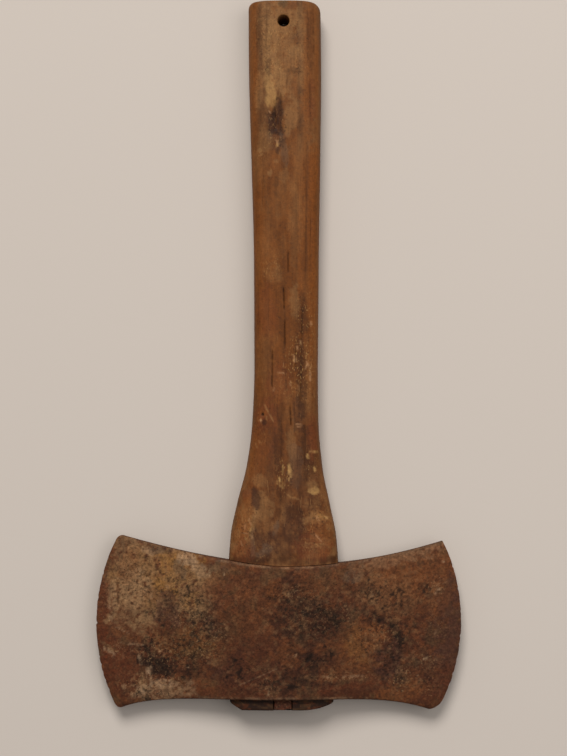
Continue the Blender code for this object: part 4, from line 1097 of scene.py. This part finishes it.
def line_hole(skin, numbers, border):
    """The wall of the hanging hole, from the top to the underside."""
    low, high, first, last = border
    loop = ([(low, i) for i in range(first, last)] + [(r, last) for r in range(low, high)]
            + [(high, i) for i in range(last, first, -1)] + [(r, first) for r in range(high, low, -1)])
    loop_row, loop_point = np.array(loop + loop[:1]).T
    top, under = numbers[loop_row, loop_point], numbers[loop_row, (-loop_point) % HAFT_POINTS]
    points = np.concatenate(skin.points)
    tube = [top]
    for share in HOLE_STEPS:
        ring = points[top] + (points[under] - points[top]) * share
        out = ring[:-1, :2] - (HOLE_X, HOLE_Y)
        ring_xy = (HOLE_X, HOLE_Y) + out * (HOLE_RADIUS / np.hypot(*out.T))[:, None]
        inner = skin.add(ring_xy[:, 0], ring_xy[:, 1], ring[:-1, 2])
        tube.append(np.concatenate([inner, inner[:1]]))
    skin.sheet(np.stack([*tube, under]))


def close_end(skin, rim_numbers, end_y, outward):
    """A rough end of the haft, in rings that shrink to a seam."""
    rim = np.concatenate(skin.points)[rim_numbers]
    centre_x = (rim[:, 0].max() + rim[:, 0].min()) / 2
    previous = rim_numbers
    for share in CAP_SHARES:
        px = centre_x + (rim[:, 0] - centre_x) * share
        pz = MIDDLE_Z + (rim[:, 2] - MIDDLE_Z) * share
        rough = 0.25 * (1 + layered(px, 0 * px, pz, 3.0, 701))
        rough = rough + 0.1 * (1 + noise(px, 0 * px, pz * 0.2, 1.6, 702))
        inner = skin.add(px, end_y(px) - outward * np.clip(rough, 0, None), pz)
        skin.sheet(np.stack([np.append(previous, previous[0]), np.append(inner, inner[0])]))
        previous = inner
    half_round = np.arange(HAFT_POINTS // 2 + 1)
    skin.sheet(np.stack([previous[half_round], previous[-half_round % HAFT_POINTS]]))


def build_haft(material):
    """The wooden haft, from the broken tongue to the butt, with its hanging hole."""
    x, y, z, border = wooden_surface()
    skin = Skin()
    numbers = skin.add(x, y, z)
    keep = np.ones((len(numbers) - 1, HAFT_POINTS), bool)
    low, high, first, last = border
    keep[low:high, first:last] = False
    keep[low:high, HAFT_POINTS - last:HAFT_POINTS - first] = False
    skin.sheet(np.concatenate([numbers, numbers[:, :1]], axis=1), keep)
    line_hole(skin, numbers, border)
    close_end(skin, numbers[0], tongue_end_y, -1)
    close_end(skin, numbers[-1], lambda px: np.full_like(px, BUTT_Y), 1)
    points = np.concatenate(skin.points)
    return show("haft_worn", skin, points, *wood_colour(points), material, "worn_wood", 55)


def build_wedge(material):
    """A flat iron wedge with a battered, mushroomed head, driven beside the tongue."""
    skin = Skin()
    across = np.linspace(-1, 1, WEDGE_COLUMNS + 1)
    y = wedge_low[1] + (wedge_high[1] - wedge_low[1]) * np.linspace(0, 1, WEDGE_ROWS + 1) ** 1.3
    head = np.exp(-(y - wedge_low[1]) / 1.4)
    width = WEDGE_HALF_WIDTH - 0.35 - 0.25 * np.abs(layered(y, 0 * y, 0 * y, 4.0, 801)) + 0.3 * head
    x = WEDGE_X + across[:, None] * np.minimum(width, WEDGE_HALF_WIDTH)[None, :]
    yy = np.ones_like(x) * y
    batter = 0.5 * (1 + noise(x, 0 * x, 0 * x, 3.0, 802)) * np.exp(-(yy - wedge_low[1]) / 2.0)
    yy = np.minimum(yy + batter, wedge_high[1])
    floor = slot_floor(y)[None, :] + WEDGE_CLEARANCE + 0 * x
    ceiling = np.full_like(x, wedge_high[2])
    edge = 1 - np.sqrt(np.clip(1 - np.clip((np.abs(across) - 0.86) / 0.14, 0, 1) ** 2, 0, 1))[:, None]
    pit = 0.16 * (1 + layered(x.ravel(), yy.ravel(), 0 * x.ravel(), 2.5, 803)).reshape(x.shape)
    thick = ceiling - floor
    top = ceiling - np.minimum(pit + 0.5 * edge, 0.4 * thick)
    low = floor + np.minimum(0.3 * edge, 0.3 * thick)
    upper, under = skin.add(x, yy, top), skin.add(x, yy, low)
    skin.sheet(upper)
    skin.sheet(under)
    ring_column, ring_row = perimeter(*x.shape)
    rim = np.stack([upper[ring_column, ring_row], under[ring_column, ring_row]], axis=1)
    skin.sheet(np.concatenate([rim, rim[:1]]))
    points = np.concatenate(skin.points)
    mottle = layered(*points.T, 3.0, 804)
    colour = np.tile(RUST_WEDGE, (len(points), 1))
    colour = coated(colour, (
        (RUST_DARK, 0.5 + 0.6 * mottle),
        (RUST_RED, 0.5 * smooth(0.3 - mottle))))
    wear = np.full((len(points), 3), 0.5)
    return show("wedge_rusted", skin, points, colour, wear, material, "wedge_iron", 50)


# Materials

IRON_SHINE, WOOD_SHINE = 0.15, 0.12
HEAD_METALLIC, WEDGE_METALLIC = 0.12, 0.1
IRON_BUMP, WOOD_BUMP = 0.00028, 0.00014     # height of the finest relief, in metres


class Nodes:
    """Short calls for putting a material together."""

    def __init__(self, name, metallic, shine):
        self.material = bpy.data.materials.new(name)
        self.material.use_nodes = True
        self.tree = self.material.node_tree
        self.shader = self.tree.nodes["Principled BSDF"]
        self.shader.inputs["Metallic"].default_value = metallic
        self.shader.inputs["Specular IOR Level"].default_value = shine
        self.place = self.tree.nodes.new("ShaderNodeTexCoord").outputs["Object"]

    def new(self, kind, **settings):
        """Adds a node."""
        node = self.tree.nodes.new(kind)
        for key, value in settings.items():
            setattr(node, key, value)
        return node

    def link(self, source, target):
        """Joins two sockets."""
        self.tree.links.new(source, target)

    def stretched(self, scale, turn=0.0):
        """Places scaled along each axis and turned, so that a texture runs one way."""
        node = self.new("ShaderNodeMapping")
        node.inputs["Scale"].default_value = scale
        node.inputs["Rotation"].default_value = (0, 0, math.radians(turn))
        self.link(self.place, node.inputs["Vector"])
        return node.outputs["Vector"]

    def noise(self, place, scale, detail=4.0, roughness=0.55):
        """A cloudy texture."""
        node = self.new("ShaderNodeTexNoise")
        node.inputs["Scale"].default_value = scale
        node.inputs["Detail"].default_value = detail
        node.inputs["Roughness"].default_value = roughness
        self.link(place, node.inputs["Vector"])
        return node.outputs["Fac"]

    def spots(self, place, scale):
        """Distance from the nearest of many scattered points."""
        node = self.new("ShaderNodeTexVoronoi")
        node.inputs["Scale"].default_value = scale
        self.link(place, node.inputs["Vector"])
        return node.outputs["Distance"]

    def between(self, value, low, high, to_low, to_high):
        """Moves a value from one range to another."""
        node = self.new("ShaderNodeMapRange")
        for name, number in zip(("From Min", "From Max", "To Min", "To Max"), (low, high, to_low, to_high)):
            node.inputs[name].default_value = number
        self.link(value, node.inputs["Value"])
        return node.outputs["Result"]

    def maths(self, operation, a, b):
        """One calculation on two numbers or sockets."""
        node = self.new("ShaderNodeMath", operation=operation)
        for socket, value in zip(node.inputs, (a, b)):
            if isinstance(value, (int, float)):
                socket.default_value = value
            else:
                self.link(value, socket)
        return node.outputs["Value"]

    def painted(self, name):
        """A colour painted on the mesh."""
        node = self.new("ShaderNodeAttribute", attribute_type="GEOMETRY", attribute_name=name)
        return node.outputs["Color"]

    def wear(self):
        """The three zones painted on the mesh."""
        node = self.new("ShaderNodeSeparateColor")
        self.link(self.painted("wear"), node.inputs["Color"])
        return node.outputs["Red"], node.outputs["Green"], node.outputs["Blue"]

    def grained(self, colour, textures):
        """Darkens and lightens a colour by textures: each with its low, high, darkest and lightest factor."""
        for texture, *limits in textures:
            node = self.new("ShaderNodeVectorMath", operation="SCALE")
            self.link(colour, node.inputs[0])
            self.link(self.between(texture, *limits), node.inputs["Scale"])
            colour = node.outputs["Vector"]
        return colour

    def mix(self, colour, tint, share, where=None):
        """Mixes a colour towards a tint, by a share that may be limited to a painted zone."""
        node = self.new("ShaderNodeMix", data_type="RGBA")
        factor = share if where is None else self.maths("MULTIPLY", share, where)
        self.link(factor, node.inputs["Factor"])
        self.link(colour, node.inputs["A"])
        node.inputs["B"].default_value = (*tint, 1.0)
        return node.outputs["Result"]

    def finish(self, colour, roughness, height, bump_size):
        """Joins everything to the shader."""
        self.link(colour, self.shader.inputs["Base Color"])
        self.link(roughness, self.shader.inputs["Roughness"])
        bump = self.new("ShaderNodeBump")
        bump.inputs["Strength"].default_value = 1.0
        bump.inputs["Distance"].default_value = bump_size
        self.link(height, bump.inputs["Height"])
        self.link(bump.outputs["Normal"], self.shader.inputs["Normal"])
        return self.material


def rusted_iron(name, metallic):
    """Rust with crumbs, grit, dark pits and pale dust over the painted colour."""
    n = Nodes(name, metallic, IRON_SHINE)
    pitted, speckled, _ = n.wear()
    clouds = n.noise(n.place, 260.0, 6.0, 0.7)
    crumbs = n.noise(n.place, 620.0, 4.0, 0.65)
    grit = n.noise(n.place, 1500.0, 3.0, 0.6)
    crust = n.spots(n.place, 620.0)
    colour = n.grained(n.painted("patina"), (
        (clouds, 0.32, 0.68, 0.76, 1.26), (crumbs, 0.3, 0.7, 0.66, 1.38), (grit, 0.3, 0.7, 0.86, 1.16)))
    dusty = n.between(n.noise(n.place, 760.0, 2.0), 0.58, 0.70, 0.0, 0.8)
    colour = n.mix(colour, CHALKY, dusty, speckled)
    holes = n.between(n.noise(n.stretched((1, 1, 1), 30.0), 560.0, 3.0), 0.54, 0.66, 0.0, 0.9)
    colour = n.mix(colour, SOOT, holes, pitted)
    colour = n.mix(colour, SOOT, n.between(crust, 0.05, 0.2, 0.45, 0.0))
    roughness = n.between(clouds, 0.3, 0.7, 0.68, 0.92)
    height = n.maths("ADD", crumbs, n.maths("MULTIPLY", crust, 0.35))
    height = n.maths("SUBTRACT", height, n.maths("MULTIPLY", holes, 0.5))
    return n.finish(colour, roughness, height, IRON_BUMP)


def worn_wood(name):
    """Worn wood with fibres, pores, dirt, dust and fine scratches over the painted colour."""
    n = Nodes(name, 0.0, WOOD_SHINE)
    dotted, dusty, scratched = n.wear()
    fibres = n.noise(n.stretched((1.0, 0.05, 1.0)), 1300.0, 3.0, 0.6)
    bands = n.noise(n.stretched((1.0, 0.04, 1.0)), 330.0, 3.0, 0.5)
    pores = n.noise(n.stretched((1.0, 0.25, 1.0)), 1500.0, 2.0, 0.5)
    dirt = n.noise(n.place, 380.0, 6.0, 0.65)
    fine = n.noise(n.place, 900.0, 3.0, 0.6)
    colour = n.grained(n.painted("patina"), (
        (fibres, 0.3, 0.7, 0.9, 1.1), (bands, 0.3, 0.7, 0.93, 1.07),
        (dirt, 0.3, 0.7, 0.84, 1.16), (fine, 0.3, 0.7, 0.9, 1.1)))
    colour = n.mix(colour, WOOD_SCAR, n.between(pores, 0.64, 0.74, 0.0, 0.5))
    dots = n.between(n.noise(n.place, 640.0, 3.0, 0.6), 0.55, 0.67, 0.0, 0.75)
    colour = n.mix(colour, WOOD_SCAR, dots, dotted)
    dust = n.between(n.noise(n.stretched((1.0, 0.5, 1.0)), 1050.0, 2.0), 0.58, 0.72, 0.0, 0.7)
    colour = n.mix(colour, WOOD_PALE, dust, dusty)
    nicks = n.between(n.noise(n.stretched((1.0, 0.12, 1.0), 38.0), 900.0, 2.0), 0.66, 0.74, 0.0, 0.6)
    colour = n.mix(colour, WOOD_TAN, nicks, scratched)
    cuts = n.between(n.noise(n.stretched((0.12, 1.0, 1.0), 12.0), 1000.0, 2.0), 0.66, 0.74, 0.0, 0.6)
    colour = n.mix(colour, WOOD_DARK, cuts, scratched)
    roughness = n.between(dirt, 0.3, 0.7, 0.52, 0.74)
    height = n.maths("ADD", fibres, n.maths("MULTIPLY", pores, -0.5))
    height = n.maths("SUBTRACT", height, n.maths("MULTIPLY", dots, 0.5))
    return n.finish(colour, roughness, height, WOOD_BUMP)


def plain(name, colour, roughness, shine):
    """One even colour."""
    n = Nodes(name, 0.0, shine)
    n.shader.inputs["Base Color"].default_value = (*colour, 1.0)
    n.shader.inputs["Roughness"].default_value = roughness
    return n.material


# Stage: floor, light and camera

def soft_light(name, place, size, watts, colour):
    """A round lamp that faces the axe."""
    lamp = bpy.data.lights.new(name, "AREA")
    lamp.shape = "DISK"
    lamp.size = size
    lamp.energy = watts
    lamp.color = colour
    thing = bpy.data.objects.new(name, lamp)
    bpy.context.scene.collection.objects.link(thing)
    thing.location = place
    thing.rotation_euler = (Vector(LIGHT_AIM) - Vector(place)).to_track_quat("-Z", "Y").to_euler()


def build_stage():
    """A plain pale floor, a soft lamp beyond the butt, a weak one to the right, and even light all round."""
    mesh = bpy.data.meshes.new("floor")
    half = FLOOR_SIZE / 2
    corners = [(-half, -half, 0), (half, -half, 0), (half, half, 0), (-half, half, 0)]
    mesh.from_pydata(corners, [], [(0, 1, 2, 3)])
    mesh.materials.append(plain("floor", linear(*FLOOR_SHADE), FLOOR_ROUGHNESS, FLOOR_SHINE))
    floor = bpy.data.objects.new("floor", mesh)
    floor.location = (0, LIGHT_AIM[1], -FLOOR_DROP)
    bpy.context.scene.collection.objects.link(floor)

    soft_light("key_light", KEY_PLACE, KEY_SIZE, KEY_WATTS, KEY_COLOUR)
    soft_light("fill_light", FILL_PLACE, FILL_SIZE, FILL_WATTS, ROOM_COLOUR)
    world = bpy.data.worlds.new("soft_room")
    world.use_nodes = True
    world.node_tree.nodes["Background"].inputs["Color"].default_value = (*ROOM_COLOUR, 1.0)
    world.node_tree.nodes["Background"].inputs["Strength"].default_value = ROOM_LIGHT
    bpy.context.scene.world = world
    bpy.context.scene.view_settings.view_transform = "Standard"


def build_camera():
    """The view from above, tilted slightly towards the butt."""
    data = bpy.data.cameras.new("camera")
    data.sensor_width = SENSOR_WIDTH
    data.lens = SENSOR_WIDTH * FOCAL_PIXELS / PHOTO_HEIGHT
    camera = bpy.data.objects.new("camera", data)
    camera.location = CAMERA_PLACE
    camera.rotation_euler = (math.atan(CAMERA_LEAN_PIXELS / FOCAL_PIXELS), 0, 0)
    bpy.context.scene.collection.objects.link(camera)
    bpy.context.scene.camera = camera


build_camera()
build_stage()
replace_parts(build_head(rusted_iron("rusted_iron_surface", HEAD_METALLIC)), "axe_head")
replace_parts(build_haft(worn_wood("worn_wood_surface")), "haft")
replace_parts(build_wedge(rusted_iron("wedge_iron_surface", WEDGE_METALLIC)), "wedge")
